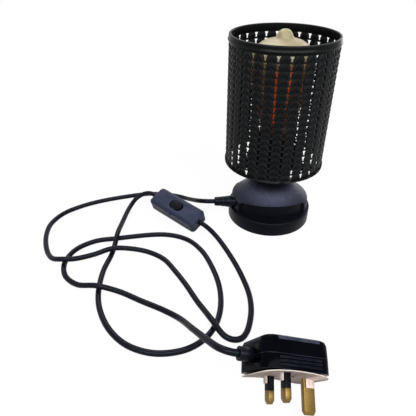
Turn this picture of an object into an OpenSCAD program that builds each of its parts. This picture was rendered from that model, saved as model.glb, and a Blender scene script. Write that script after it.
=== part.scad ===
// Table lamp: flared hollow base, openwork knitted-look shade, long bulb, in-line rocker switch, fused plug.
// Millimetres. Origin at the centre of the base's underside, +Z up, the flex leaves along -X.

/* [Base] */
// Radius of the base flange
flange_r = 44; // [40:0.5:50]
// Height of the base flange
flange_h = 14.8; // [13:0.2:18]
// Wall of the hollow base
base_wall = 2.6; // [2:0.1:3.2]
// Height of the side shoulders above the flange
shoulder_h = 11; // [10:0.5:14]
// Step from the flange in to the shoulders
shoulder_step = 2.5; // [1.5:0.1:4]
// Depth of the front and back recesses, from the flange edge
recess_depth = 10.2; // [8:0.2:11]
// Half angle of each recess, in degrees
recess_half_angle = 57; // [45:1:65]
// Plan radius of the recess wall
recess_r = 46; // [40:1:60]
// Radius of the concave flare
flare_r = 48; // [40:1:80]
// Height of the flare
flare_h = 21.7; // [19:0.1:26]
// Radius of the neck
neck_r = 20; // [19:0.25:22]
// Wall of the neck
neck_wall = 2.5; // [2:0.1:3]
// Height of the neck above the flare
neck_h = 19.5; // [16:0.5:24]
// Overhang of the collar under the shade
collar_step = 4; // [2:0.25:6]
// Thickness of the web that carries the lampholder
web_t = 3; // [2.5:0.1:4]
// Thickness of the base plate
plate_t = 3; // [2.5:0.1:4]
// Radius of the base plate's screws
base_screw_r = 1.5; // [1.2:0.1:1.8]

/* [Lampholder] */
// Wall of the lampholder body
holder_wall = 4.4; // [3.8:0.1:5]
// Height of the lampholder above the shade seat
holder_h = 28; // [24:0.5:32]
// Outer radius of the brass screw shell
shell_r = 14.2; // [13.9:0.05:14.4]
// Wall of the screw shell
shell_wall = 0.6; // [0.4:0.05:0.7]
// Height of the screw shell
shell_h = 28; // [24:0.5:30]

/* [Shade] */
// Radius over the rims
shade_r = 50; // [47:0.5:60]
// Height of the shade
shade_h = 123; // [100:1:140]
// Thickness of the openwork wall
shade_wall_t = 1.5; // [1.2:0.1:2]
// Distance from the rim's outside to the wall's outside
shade_wall_inset = 1.1; // [0.8:0.1:1.5]
// Height of the top rim
top_rim_h = 4.8; // [4:0.2:7]
// Height of the bottom rim
bottom_rim_h = 2.2; // [2:0.1:4]
// Columns of openings round the wall
columns = 28; // [20:1:32]
// Rows of openings up the wall
rows = 19; // [10:1:20]
// Height of one row
row_pitch = 6; // [5.6:0.1:6]
// How far every other course is set in
course_set = 0.1; // [0.05:0.01:0.2]
// Turn of the first column, in degrees
column_phase = 12; // [0:0.5:12.5]
// Width of an opening at its top
hole_top_w = 3.6; // [3:0.1:5]
// Width of an opening at its waist
hole_waist_w = 1.8; // [1.2:0.1:2.5]
// Width of an opening at its foot
hole_foot_w = 2.2; // [1.5:0.1:3]
// Height of an opening
hole_h = 4.8; // [3.5:0.1:5]
// Thickness of the carrier's ring and arms
carrier_t = 2; // [1.6:0.1:2.2]
// Width of the carrier's arms
arm_w = 6; // [4:0.5:9]
// Outer radius of the shade ring nut
nut_r = 27; // [25.5:0.25:29]
// Height of the shade ring nut
nut_h = 11; // [8:0.5:14]

/* [Bulb] */
// Largest radius of the bulb
bulb_r = 30; // [26:0.5:34]
// Length of the glass
bulb_len = 117.7; // [105:0.5:130]
// Radius of the glass neck
bulb_neck_r = 11.6; // [11:0.1:11.6]
// Thickness of the glass
glass_t = 0.8; // [0.6:0.1:1]
// Radius of the cap's thread crests
cap_r = 13.1; // [12.8:0.05:13.2]
// Thread depth of the cap
cap_thread = 0.7; // [0.5:0.05:0.8]
// Wall of the cap under the thread
cap_wall = 0.4; // [0.3:0.05:0.5]
// Height of the glass's foot over the shade seat
glass_seat = 9; // [8:0.25:10]
// Height of the glass stem
stem_h = 30; // [26:1:34]
// Height of the filaments' mast over the glass's foot
mast_h = 90; // [82:1:96]
// Length of a filament
filament_len = 56; // [48:1:58]
// Radius of a filament
filament_r = 1; // [0.7:0.1:1.3]
// Number of filaments
filament_count = 4; // [3:1:6]
// Turn of the first filament, in degrees
filament_turn = 56; // [0:1:90]
// Radius of the filament circle at its top
filament_top_r = 11; // [9:0.5:13]
// Radius of the filament circle at its foot
filament_foot_r = 6; // [5:0.5:7]

/* [Flex] */
// Radius of the flex
cord_r = 2.5; // [2.3:0.05:2.6]
// Length of the strain relief outside the base
relief_len = 22; // [20:0.5:26]
// Radius of the strain relief at the base
relief_r = 5.6; // [5.4:0.1:6]

/* [Switch] */
// Length of the in-line switch
switch_len = 62; // [60:0.5:70]
// Width of the in-line switch
switch_w = 22.5; // [22:0.25:26]
// Height of the in-line switch
switch_h = 15; // [14.6:0.1:16]
// Height of the joint between its shells
switch_split = 8; // [7.8:0.1:8.2]
// Wall of the shells
switch_wall = 1.6; // [1.3:0.1:1.8]
// Length of the rocker
rocker_len = 15.6; // [14:0.2:17]
// Width of the rocker
rocker_w = 10.2; // [9.5:0.1:10.8]
// Gap round the rocker
rocker_gap = 0.8; // [0.7:0.05:0.9]
// Radius of the rocker's trunnions
trunnion_r = 1.2; // [1:0.05:1.3]
// Half of the rocker's swing, in degrees
rocker_tilt = 8; // [6:0.5:9]

/* [Plug] */
// Width of the plug
plug_w = 44; // [42:0.5:48]
// Distance from the pin line to the earth end
plug_top = 28.5; // [27.5:0.25:31]
// Distance from the pin line to the cord end
plug_bottom = 19; // [18:0.25:22]
// Width of the straight part of the cord end
plug_end_w = 26; // [24:0.5:30]
// Corner radius of the earth end
plug_corner = 9; // [6:0.5:10]
// Depth of the plug's base
plug_base_h = 9; // [8.8:0.1:10]
// Depth of the plug's cover
plug_cover_h = 11.5; // [10.5:0.1:13]
// Wall of the plug
plug_wall = 2; // [1.6:0.1:2.4]
// Length of the live pins
pin_len = 17.7; // [17:0.1:18.5]
// Length of the earth pin
earth_len = 22.7; // [22:0.1:23.5]
// Length of the insulated part of a live pin
sleeve_len = 9.5; // [8.5:0.1:10]
// Radius of the plug's cord sleeve
cord_sleeve_r = 4.7; // [4.2:0.1:5.2]
// Thickness of the wiring card
card_t = 0.5; // [0.4:0.05:0.7]
// Radius of the card's bow
card_bow_r = 150; // [120:5:300]

/* [Hidden] */
fit = 0.05;
slip = 0.3;
ear_r = flange_r - shoulder_step;
shoulder_z = flange_h + shoulder_h;
neck_z = shoulder_z + flare_h;
seat_z = neck_z + neck_h;
web_z = neck_z - 5.5;
floor_z = web_z + web_t;
collar_r = neck_r + collar_step;
core_r = flange_r - recess_depth - base_wall - 0.6;
core_z = flange_h - base_wall + 0.3;
throat_r = 15;
recess_c = recess_r - flange_r + recess_depth;
plate_r = flange_r - base_wall - slip;
boss_c = flange_r - 8;
boss_r = 4;
boss_turns = [30, 150, 270];
gland_y = -10;
gland_z = flange_h + 6.2;
gland_x = -(ear_r - 3.5);
shank_r = cord_r + 2.5;
relief_tip = gland_x - relief_len;
snap_x = -24.3;
tail_x = -6;
post_z = gland_z + cord_r;
block_x = 10;
wire_r = 0.9;
neck_bore_r = neck_r - neck_wall;
barrel_r = neck_bore_r - slip;
holder_bore_r = shell_r + 0.4;
holder_r = holder_bore_r + holder_wall;
shell_z = floor_z + 10;
wall_out = shade_r - shade_wall_inset;
wall_in = wall_out - shade_wall_t;
shade_top = seat_z + shade_h;
rim_top_z = shade_top - top_rim_h;
wall_z0 = seat_z + bottom_rim_h / 2;
wall_z1 = rim_top_z + top_rim_h / 2;
rim_in = wall_in - 0.6;
hole_z0 = shade_top - 7.5;
courses = min(rows, floor((shade_h - 8) / row_pitch));
ring_in = holder_r + 0.4;
ring_out = nut_r - 1;
glass_z = seat_z + glass_seat;
core_cap_r = cap_r - cap_thread;
cap_in = core_cap_r - cap_wall;
glass_r = min(bulb_neck_r, cap_in - slip);
contact_z = shell_z + 3.2;
mast_top = glass_z + mast_h;
// Bulb profile, as radius and height over the neck for a bulb of radius 30 and length 117.7
bulb_shape = [[11.6, 0], [11.6, 10], [13.5, 22], [18.5, 39], [24.5, 59], [29, 77], [30, 86], [28.8, 94], [26, 99.5],
    [21.5, 103.8], [16.5, 106.8], [12, 108.6], [9, 110], [7.4, 112], [6, 114], [4, 116.2], [0, 117.7]];
switch_at = [-99.2, -13.7, 7.5];
switch_turn = [20, 6, -39];
axis_z = switch_h - 3.7;
cheek_y = rocker_w / 2 + 0.5;
plug_at = [-22.3, -221.7, 26.2];
plug_turn = [-143.7, 56.4, 127.2];
plug_cord_z = -plug_base_h - 0.5;
end_corner = (plug_w - plug_end_w) / 2;
rib_y = end_corner - plug_bottom + 0.5;
pin_x = 11.11;
earth_y = 22.23;
pin_w = 6.35;
pin_d = 4;
earth_w = 4;
earth_d = 8;
sleeve_t = 0.5;
block_h = 6;

function turned(v, a) = let (x = [v[0], v[1] * cos(a[0]) - v[2] * sin(a[0]), v[1] * sin(a[0]) + v[2] * cos(a[0])],
    y = [x[0] * cos(a[1]) + x[2] * sin(a[1]), x[1], x[2] * cos(a[1]) - x[0] * sin(a[1])])
    [y[0] * cos(a[2]) - y[1] * sin(a[2]), y[0] * sin(a[2]) + y[1] * cos(a[2]), y[2]];
function switch_point(x) = switch_at + turned([x, 0, switch_split], switch_turn);
function plug_point(y) = plug_at + turned([0, y, plug_cord_z], plug_turn);

// Route of the flex from the base to the switch
route_switch = [
    [relief_tip, gland_y, gland_z], [relief_tip - 8, gland_y + 0.4, gland_z - 0.2], [-76, -5.5, 18.6],
    [-83, 4, 13.5], [-91, 16, 7.5], [-101, 26, 4], [-117, 32.5, 2.8], [-137, 34, 2.6], [-155, 30.5, 2.6],
    [-190, 19, 2.6], [-211, 8, 2.6], [-228, -7, 2.6], [-236, -26, 2.6], [-235, -45, 2.6], [-230, -62, 2.6],
    [-223, -76, 3], [-215, -85.5, 5.4], [-204.5, -89.8, 8.5], [-193, -88, 7.4], [-177, -81.5, 7],
    [-160, -74.5, 8.7], [-143, -71, 5.5], [-126, -73, 3], [-110, -83, 2.6], [-98, -99.5, 2.6],
    [-87, -117.5, 2.6], [-76.5, -137.5, 3], [-70.5, -149, 5], [-65, -160.5, 8], [-61.5, -167, 8.6],
    [-58.5, -172, 7.9], [-54.5, -176, 6.3], [-49.5, -177.8, 4.7], [-44.2, -177.1, 3.4],
    [-40.2, -174.6, 2.8], [-37.2, -170.2, 2.6], [-35, -165, 2.6], [-31.8, -151, 2.6], [-31, -139, 2.6],
    [-32, -126, 2.6], [-38, -101, 2.8], [-48, -74, 4], [-60, -52, 7.5], switch_point(switch_len / 2 + 8),
    switch_point(switch_len / 2 - 6)];

// Route of the flex from the switch to the plug
route_plug = [
    switch_point(6 - switch_len / 2), switch_point(-switch_len / 2 - 9), [-140, 12, 16.5],
    [-148, 9.5, 12.5], [-154, -1, 8.5], [-158.5, -30, 6.8], [-159.5, -50, 8.4], [-160, -62, 5.4],
    [-161, -75, 3], [-164.5, -101, 2.7], [-162.5, -130, 2.6], [-156, -150, 2.6], [-144, -169, 2.6],
    [-128, -182.5, 2.6], [-107, -189, 2.6], [-85, -186, 2.6], [-71, -177, 2.6], [-62, -164, 2.6],
    [-57, -146, 2.6], [-57, -122, 2.6], [-63, -96, 2.6], [-74, -70, 2.6], [-89, -53, 2.6],
    [-112, -45, 2.6], [-162, -51.5, 2.6], [-182, -56, 2.6], [-198, -69, 2.6], [-203.5, -88, 2.6],
    [-198, -106, 2.6], [-184, -118, 3.5], [-164, -124.5, 8.4], [-145, -127, 4], [-124, -137, 2.7],
    [-105, -147, 3.1], [-91, -158.5, 6.5], [-78.5, -181, 20.5], [-68, -200, 32.5], [-62.8, -208.8, 38.1],
    [-60.3, -211.9, 39.9], [-56.8, -214.3, 40.8], [-52.7, -215.7, 40.7], plug_point(-plug_bottom - 9.4),
    plug_point(-plug_bottom + 8)];

function unit(v) = v / norm(v);
function heading(p, i) = unit(p[min(i + 1, len(p) - 1)] - p[max(i - 1, 0)]);
function ring(p, i, r, n) = let (t = heading(p, i), s = unit(cross(t, [0.01, 0.02, 1])), u = cross(s, t))
    [for (k = [0 : n - 1]) p[i] + r * (cos(360 * (k + 0.5) / n) * s + sin(360 * (k + 0.5) / n) * u)];
function rings(p, r, n) = [for (i = [0 : len(p) - 1]) each ring(p, i, r, n)];
function sides(m, n) = [for (i = [0 : m - 2]) for (k = [0 : n - 1]) each
    [[i * n + k, (i + 1) * n + k, (i + 1) * n + (k + 1) % n], [i * n + k, (i + 1) * n + (k + 1) % n, i * n + (k + 1) % n]]];
function ends(m, n) = concat([for (k = [1 : n - 2]) [0, k, k + 1]],
    [for (k = [1 : n - 2]) [(m - 1) * n, (m - 1) * n + k + 1, (m - 1) * n + k]]);
function mid(p, i, t) = let (a = p[max(i - 1, 0)], b = p[i], c = p[i + 1], d = p[min(i + 2, len(p) - 1)])
    0.5 * (2 * b + (c - a) * t + (2 * a - 5 * b + 4 * c - d) * t * t + (3 * b - a - 3 * c + d) * t * t * t);
function curve(p, n) = concat([for (i = [0 : len(p) - 2]) for (k = [0 : n - 1]) mid(p, i, k / n)], [p[len(p) - 1]]);
function bulb_point(p) = [glass_r + (p[0] - 11.6) * (bulb_r - glass_r) / 18.4, glass_z + p[1] * bulb_len / 117.7];
function bulb_line() = let (c = curve([for (p = bulb_shape) p], 3))
    [for (p = c) [max(p[0] < 11.6 ? p[0] * glass_r / 11.6 : bulb_point(p)[0], 0), bulb_point(p)[1]]];
function inset(p, t) = [for (i = [0 : len(p) - 1]) let (h = heading(p, i))
    i == len(p) - 1 ? [0, p[i][1] - t] : [max(p[i][0] - t * h[1], 0.05), p[i][1] + t * h[0]]];
function reversed(p) = [for (i = [len(p) - 1 : -1 : 0]) p[i]];
function flare_point(a, b, s) = let (m = (a + b) / 2, h = norm(b - a) / 2, n = unit([b[1] - a[1], a[0] - b[0]]),
    c = m + n * sqrt(flare_r * flare_r - h * h), va = a - c, turn = 2 * asin(h / flare_r))
    c + [va[0] * cos(-turn * s) - va[1] * sin(-turn * s), va[0] * sin(-turn * s) + va[1] * cos(-turn * s)];

module sweep(p, r, n) {
    polyhedron(points = rings(p, r, n), faces = concat(sides(len(p), n), ends(len(p), n)), convexity = 10);
}

// A screw with its head's top at z = 0 and its shank below
module screw(r, length, head_r, head_h) {
    difference() {
        union() {
            translate([0, 0, -head_h]) cylinder(r = head_r, h = head_h, $fn = 32);
            translate([0, 0, -head_h - length]) cylinder(r = r, h = length + 0.1, $fn = 24);
        }
        translate([-head_r - 1, -0.35, -head_h * 0.5]) cube([2 * head_r + 2, 0.7, head_h]);
    }
}

module base_outer() {
    a = [ear_r - 2, shoulder_z];
    b = [neck_r, neck_z];
    polygon(concat(
        [[0, 0], [flange_r, 0], [flange_r, flange_h - 0.8], [flange_r - 0.8, flange_h], [ear_r, flange_h],
            [ear_r - 0.7, shoulder_z - 1.4], [ear_r - 1.1, shoulder_z - 0.5]],
        [for (k = [0 : 12]) flare_point(a, b, k / 12)],
        [[neck_r, seat_z - 6], [collar_r, seat_z - 4], [collar_r, seat_z], [0, seat_z]]));
}

module base_cavity() {
    polygon([[0, -1], [flange_r - base_wall, -1], [flange_r - base_wall, core_z], [core_r, core_z],
        [core_r, shoulder_z], [throat_r, web_z], [0, web_z]]);
}

module recess() {
    a = recess_half_angle;
    translate([0, 0, flange_h]) linear_extrude(height = shoulder_h + 14) difference() {
        polygon([[0, 0], [-90 * sin(a), -90 * cos(a)], [0, -140], [90 * sin(a), -90 * cos(a)]]);
        translate([0, recess_c]) circle(r = recess_r, $fn = 96);
    }
}

module base_cover() {
    color("#2a2c34") difference() {
        union() {
            difference() {
                rotate_extrude($fn = 96) base_outer();
                rotate_extrude($fn = 96) base_cavity();
            }
            for (a = boss_turns) rotate([0, 0, a]) translate([boss_c, 0, plate_t])
                cylinder(r = boss_r, h = core_z + 0.5 - plate_t, $fn = 32);
        }
        recess();
        rotate([0, 0, 180]) recess();
        for (a = boss_turns) rotate([0, 0, a]) translate([boss_c, 0, plate_t - 1])
            cylinder(r = base_screw_r + fit, h = 9, $fn = 24);
        translate([0, 0, web_z - 1]) cylinder(r = 9, h = web_t + 2, $fn = 48);
        for (s = [-1, 1]) translate([s * 11.5, 0, web_z - 1]) cylinder(r = 1.7, h = web_t + 2, $fn = 24);
        translate([0, 0, floor_z]) cylinder(r = neck_bore_r, h = seat_z - floor_z + 1, $fn = 64);
        translate([gland_x - 20, gland_y, gland_z]) rotate([0, 90, 0]) cylinder(r = relief_r + 0.2, h = 20, $fn = 48);
        translate([gland_x - 1, gland_y, gland_z]) rotate([0, 90, 0]) cylinder(r = shank_r + fit, h = 12, $fn = 48);
    }
}

module base_plate() {
    color("#33353c") difference() {
        union() {
            cylinder(r = plate_r, h = plate_t, $fn = 96);
            translate([-20, gland_y - 10, 0]) cube([12, 20, gland_z - cord_r]);
            for (s = [-1, 1]) translate([-20, gland_y + s * 6.75 - 3.25, 0]) cube([12, 6.5, post_z]);
        }
        for (a = boss_turns) rotate([0, 0, a]) translate([boss_c, 0, -1]) {
            cylinder(r = base_screw_r + 0.1, h = plate_t + 2, $fn = 24);
            cylinder(r = base_screw_r * 2, h = 2.6, $fn = 32);
        }
        for (s = [-1, 1]) translate([-14, gland_y + s * 7, post_z - 8]) cylinder(r = 1.25, h = 9, $fn = 24);
        for (s = [-1, 1]) translate([block_x, s * 8, -1]) cylinder(r = 0.9, h = plate_t + 2, $fn = 16);
    }
}

module base_screws() {
    color("#9a9ca0") for (a = boss_turns) rotate([0, 0, a]) translate([boss_c, 0, 0.1]) mirror([0, 0, 1])
        screw(base_screw_r, 8, base_screw_r * 2 - 0.2, 1.5);
}

module terminal_block() {
    color("#d8d4c6") difference() {
        translate([block_x - 7, -10, plate_t]) cube([14, 20, 12]);
        for (s = [-1, 1]) translate([block_x - 8, s * 5, plate_t + 6]) rotate([0, 90, 0]) cylinder(r = 2.6, h = 16, $fn = 32);
        for (s = [-1, 1]) for (x = [-3.5, 3.5]) translate([block_x + x, s * 5, plate_t + 6]) cylinder(r = 1.8, h = 7, $fn = 24);
    }
}

module terminal_tubes() {
    color("#b8964a") for (s = [-1, 1]) translate([block_x - 6, s * 5, plate_t + 6]) rotate([0, 90, 0]) difference() {
        cylinder(r = 2.5, h = 12, $fn = 32);
        translate([0, 0, -1]) cylinder(r = 1.6, h = 14, $fn = 24);
        for (x = [2.5, 9.5]) translate([-4, 0, x]) rotate([0, 90, 0]) cylinder(r = 1.25, h = 4, $fn = 24);
    }
}

module terminal_screws() {
    color("#b9bcc0") for (s = [-1, 1]) for (x = [-3.5, 3.5]) translate([block_x + x, s * 5, plate_t + 11.5])
        screw(1.2, 2.8, 1.7, 1.6);
}

module cord_clamp() {
    color("#d8d4c6") difference() {
        translate([-16.5, gland_y - 9.5, post_z]) cube([5, 19, 2.5]);
        for (s = [-1, 1]) translate([-14, gland_y + s * 7, post_z - 1]) cylinder(r = 1.5, h = 5, $fn = 24);
    }
}

module clamp_screws() {
    color("#b9bcc0") for (s = [-1, 1]) translate([-14, gland_y + s * 7, post_z + 4]) screw(1.2, 8, 2.2, 1.5);
}

module flex_tail() {
    color("#16171a") translate([snap_x + 1, gland_y, gland_z]) rotate([0, 90, 0])
        cylinder(r = cord_r, h = tail_x - snap_x - 1, $fn = 32);
}

module core_wires() {
    x0 = block_x - 7;
    x1 = block_x + 7;
    z0 = plate_t + 6;
    z1 = floor_z + 5;
    zt = gland_z;
    color("#6a4a32") {
        sweep([[tail_x + slip, gland_y - 1, zt], [tail_x + 5, gland_y - 1, zt - 1], [x0 - 2, gland_y + 1, 15],
            [x0 - 4, -6.5, 11], [x0 - 3, -5, z0], [x0, -5, z0]], wire_r, 6);
        sweep([[tail_x + slip, gland_y + 1, zt], [tail_x + 6, gland_y + 2.5, zt], [x0 - 1, 0, 19], [x0 - 3, 4, 13],
            [x0 - 3, 5, z0], [x0, 5, z0]], wire_r, 6);
        sweep([[x1, -5, z0], [x1 + 3, -5, z0 + 0.5], [x1 + 5, -4.5, 14], [x1 + 1, -4, 24], [11, -3, 33],
            [6.5, -1.5, web_z - 2], [6, 0, floor_z + 1], [6, 0, z1]], wire_r, 6);
        sweep([[x1, 5, z0], [x1 + 3, 5, z0 + 0.5], [x1 + 5, 4.5, 14], [x1 - 3, 6, 24], [3, 6, 33],
            [-5, 3, web_z - 2], [-6, 0, floor_z + 1], [-6, 0, z1]], wire_r, 6);
    }
}

// Strain relief moulded on the flex, tapering to its tip
module strain_relief() {
    color("#141518") translate([gland_x, gland_y, gland_z]) rotate([0, -90, 0]) rotate_extrude($fn = 48)
        polygon([[0, gland_x - snap_x - 1], [shank_r + 0.7, gland_x - snap_x - 1], [shank_r + 0.7, gland_x - snap_x + 1],
            [shank_r, gland_x - snap_x + 1], [shank_r, 0], [relief_r, 0], [relief_r, 4], [relief_r - 0.6, 5],
            [cord_r + 1.6, relief_len], [0, relief_len]]);
}

module holder_body() {
    color("#1b1c20") difference() {
        union() {
            translate([0, 0, floor_z]) cylinder(r = barrel_r, h = seat_z - floor_z + 0.5, $fn = 64);
            translate([0, 0, seat_z]) cylinder(r = holder_r, h = holder_h, $fn = 64);
        }
        translate([0, 0, floor_z + 5]) cylinder(r = holder_bore_r, h = seat_z + holder_h, $fn = 64);
        translate([0, 0, floor_z - 1]) cylinder(r = 7.5, h = 10, $fn = 48);
        for (s = [-1, 1]) translate([s * 11.5, 0, floor_z - 1]) cylinder(r = 1.35, h = 5, $fn = 24);
    }
}

module holder_screws() {
    color("#9a9ca0") for (s = [-1, 1]) translate([s * 11.5, 0, web_z - 1.6]) mirror([0, 0, 1]) screw(1.3, web_t + 3.6, 2.6, 1.6);
}

module socket_insulator() {
    color("#ece7dc") translate([0, 0, floor_z + 5]) difference() {
        cylinder(r = shell_r + 0.2, h = 5, $fn = 48);
        for (s = [-1, 1]) translate([0, s * 10, 2]) cylinder(r = 1.6, h = 4, $fn = 24);
    }
}

module screw_shell() {
    color("#b8964a") translate([0, 0, shell_z]) difference() {
        cylinder(r = shell_r, h = shell_h, $fn = 64);
        translate([0, 0, -1]) cylinder(r = shell_r - shell_wall, h = shell_h + 2, $fn = 64);
    }
}

module centre_contact() {
    color("#c9a85a") translate([0, 3, shell_z]) rotate([90, 0, 0]) linear_extrude(height = 6)
        polygon([[-9, 0], [-3, 0], [3.5, 2.3], [5, 2], [5, 2.6], [3.5, 2.9], [-3, 0.6], [-9, 0.6]]);
}

module hole_2d() {
    polygon([[-hole_top_w / 2, 0], [-hole_waist_w / 2, -0.55 * hole_h], [-hole_foot_w / 2, -hole_h],
        [hole_foot_w / 2, -hole_h], [hole_waist_w / 2, -0.55 * hole_h], [hole_top_w / 2, 0]]);
}

module wall_band(z0, z1, set) {
    difference() {
        translate([0, 0, z0]) cylinder(r = wall_out - set, h = z1 - z0, $fn = 128);
        translate([0, 0, z0 - 1]) cylinder(r = wall_in - set, h = z1 - z0 + 2, $fn = 128);
    }
}

// Openwork wall in stacked courses, each with a ring of openings
module shade_wall() {
    top = hole_z0 + (row_pitch - hole_h) / 2;
    color("#1c1e20") {
        wall_band(top, wall_z1, 0);
        for (k = [0 : courses - 1]) difference() {
            wall_band(top - (k + 1) * row_pitch, top - k * row_pitch, k % 2 == 0 ? course_set : 0);
            for (c = [0 : columns - 1]) rotate([0, 0, column_phase + c * 360 / columns])
                translate([wall_in - 3, 0, hole_z0 - k * row_pitch]) rotate([90, 0, 90])
                    linear_extrude(height = shade_wall_t + 6) hole_2d();
        }
        wall_band(wall_z0, top - courses * row_pitch, 0);
    }
}

module shade_top_rim() {
    color("#1a1b1e") rotate_extrude($fn = 128) difference() {
        polygon([[rim_in, rim_top_z], [shade_r - 0.3, rim_top_z], [shade_r, rim_top_z + 0.4], [shade_r, rim_top_z + 1.2],
            [shade_r - 0.4, rim_top_z + 1.7], [shade_r - 0.4, shade_top - 0.6], [shade_r - 0.9, shade_top],
            [rim_in + 0.5, shade_top], [rim_in, shade_top - 0.5]]);
        translate([wall_in - fit, rim_top_z - 1]) square([shade_wall_t + 2 * fit, wall_z1 - rim_top_z + 1 + fit]);
    }
}

module shade_carrier() {
    color("#1a1b1e") difference() {
        union() {
            difference() {
                translate([0, 0, seat_z]) cylinder(r = shade_r - 0.2, h = bottom_rim_h, $fn = 128);
                translate([0, 0, seat_z - 1]) cylinder(r = rim_in, h = bottom_rim_h + 2, $fn = 128);
            }
            for (a = [90, 210, 330]) rotate([0, 0, a]) translate([ring_out - 2, -arm_w / 2, seat_z])
                cube([rim_in - ring_out + 2.4, arm_w, carrier_t]);
            translate([0, 0, seat_z]) cylinder(r = ring_out, h = carrier_t, $fn = 64);
        }
        translate([0, 0, seat_z - 1]) cylinder(r = ring_in, h = carrier_t + 2, $fn = 64);
        difference() {
            translate([0, 0, wall_z0 - fit]) cylinder(r = wall_out + fit, h = bottom_rim_h, $fn = 128);
            translate([0, 0, wall_z0 - 1]) cylinder(r = wall_in - fit, h = bottom_rim_h + 2, $fn = 128);
        }
    }
}

module shade_ring() {
    color("#202226") difference() {
        translate([0, 0, seat_z + carrier_t]) cylinder(r = nut_r, h = nut_h, $fn = 64);
        translate([0, 0, seat_z + carrier_t - 1]) cylinder(r = holder_r + 0.2, h = nut_h + 2, $fn = 64);
        translate([0, 0, seat_z + carrier_t + 3]) difference() {
            cylinder(r = nut_r + 1, h = nut_h, $fn = 64);
            translate([0, 0, -1]) cylinder(r = nut_r - 3, h = nut_h + 2, $fn = 64);
        }
    }
}

module bulb_glass() {
    line = bulb_line();
    inner = inset(line, glass_t);
    color("#c8b070", 0.4) rotate_extrude($fn = 64)
        polygon(concat([[inner[0][0], glass_z]], [line[0]], [for (i = [1 : len(line) - 1]) line[i]],
            [for (i = [len(inner) - 1 : -1 : 1]) inner[i]]));
}

module bulb_cap() {
    color("#b9a878") rotate_extrude($fn = 64) polygon(concat(
        [[9, seat_z - 4], [core_cap_r, seat_z - 4]],
        [for (k = [0 : 3]) each [[core_cap_r, seat_z - 2.6 + k * 4.2], [cap_r, seat_z - 1.4 + k * 4.2],
            [cap_r, seat_z - 0.8 + k * 4.2], [core_cap_r, seat_z + 0.4 + k * 4.2]]],
        [[core_cap_r, seat_z + 18], [cap_in, seat_z + 18], [cap_in, seat_z - 3], [9, seat_z - 3]]));
}

module cap_insulator() {
    color("#15161a") rotate_extrude($fn = 48) polygon([[0, seat_z - 7.2], [6, seat_z - 7.2], [cap_in - 0.4, seat_z - 4],
        [0, seat_z - 4]]);
}

module cap_contact() {
    color("#b9bcc0") rotate_extrude($fn = 32) polygon([[0, seat_z - 8.8], [3, seat_z - 8.8], [4.75, seat_z - 7.8],
        [4.75, seat_z - 7.2], [0, seat_z - 7.2]]);
}

module bulb_stem() {
    color("#dfe3e0", 0.5) {
        translate([0, 0, glass_z]) cylinder(r = glass_r - glass_t - 0.2, h = 1.5, $fn = 48);
        translate([0, 0, glass_z + 1]) cylinder(r = 3.5, h = stem_h - 1, $fn = 32);
    }
}

// Four straight filaments that lean outwards from foot to top
module filaments() {
    n = filament_count;
    lean = atan((filament_top_r - filament_foot_r) / filament_len);
    color("#e0561e") for (k = [0 : n - 1]) rotate([0, 0, filament_turn + k * 360 / n])
        translate([filament_foot_r, 0, mast_top - filament_len - 2.4]) rotate([0, lean, 0])
            cylinder(r = filament_r, h = filament_len, $fn = 24);
}

module filament_wires() {
    n = filament_count;
    color("#8f9296") {
        translate([0, 0, glass_z + stem_h]) cylinder(r = 0.7, h = mast_h - stem_h, $fn = 16);
        for (k = [0 : n - 1]) rotate([0, 0, filament_turn + k * 360 / n]) {
            translate([0, -0.3, mast_top - filament_len - 3.2]) cube([filament_foot_r + 0.8, 0.6, 0.6]);
            translate([0, -0.3, mast_top - 2.1]) cube([filament_top_r + 0.8, 0.6, 0.6]);
        }
    }
}

module switch_place() {
    translate(switch_at) rotate(switch_turn) children();
}

module plate_2d(l, w, r) {
    hull() for (x = [-1, 1]) for (y = [-1, 1]) translate([x * (l / 2 - r), y * (w / 2 - r)]) circle(r = r, $fn = 24);
}

module stadium(l, w) {
    union() {
        square([l - w, w], center = true);
        for (s = [-1, 1]) translate([s * (l - w) / 2, 0]) circle(r = w / 2, $fn = 48);
    }
}

module switch_box(z0, z1, z2, z3, low, high) {
    hull() {
        translate([0, 0, z0]) linear_extrude(height = 0.2) plate_2d(switch_len - low, switch_w - low, 4 - low / 4);
        translate([0, 0, z1]) linear_extrude(height = 0.2) plate_2d(switch_len, switch_w, 4);
        translate([0, 0, z2 - 0.2]) linear_extrude(height = 0.2) plate_2d(switch_len, switch_w, 4);
        translate([0, 0, z3 - 0.2]) linear_extrude(height = 0.2) plate_2d(switch_len - high, switch_w - high, 4 - high / 4);
    }
}

module cord_way(z) {
    translate([-switch_len, 0, z]) rotate([0, 90, 0]) cylinder(r = cord_r + 0.15, h = 2 * switch_len, $fn = 32);
}

module switch_posts(z0, z1) {
    for (s = [-1, 1]) translate([s * (switch_len / 2 - 5), s * (switch_w / 2 - 4), z0]) cylinder(r = 2.3, h = z1 - z0, $fn = 24);
}

module switch_lower_shell() {
    l = switch_len - 2 * switch_wall;
    w = switch_w - 2 * switch_wall;
    color("#23252e") switch_place() difference() {
        union() {
            difference() {
                switch_box(0, 1.4, switch_split - 0.2, switch_split, 2.4, 0);
                translate([0, 0, switch_wall]) linear_extrude(height = switch_split) plate_2d(l, w, 2.4);
            }
            switch_posts(1, switch_split);
            for (s = [-1, 1]) translate([s * (switch_len / 2 - 4) - 0.8, -w / 2 - 0.2, 1]) cube([1.6, w + 0.4, switch_split - 1]);
        }
        cord_way(switch_split);
        for (s = [-1, 1]) translate([s * (switch_len / 2 - 5), s * (switch_w / 2 - 4), -1]) {
            cylinder(r = 1.1, h = switch_split + 2, $fn = 24);
            cylinder(r = 2, h = 3, $fn = 24);
        }
    }
}

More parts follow.
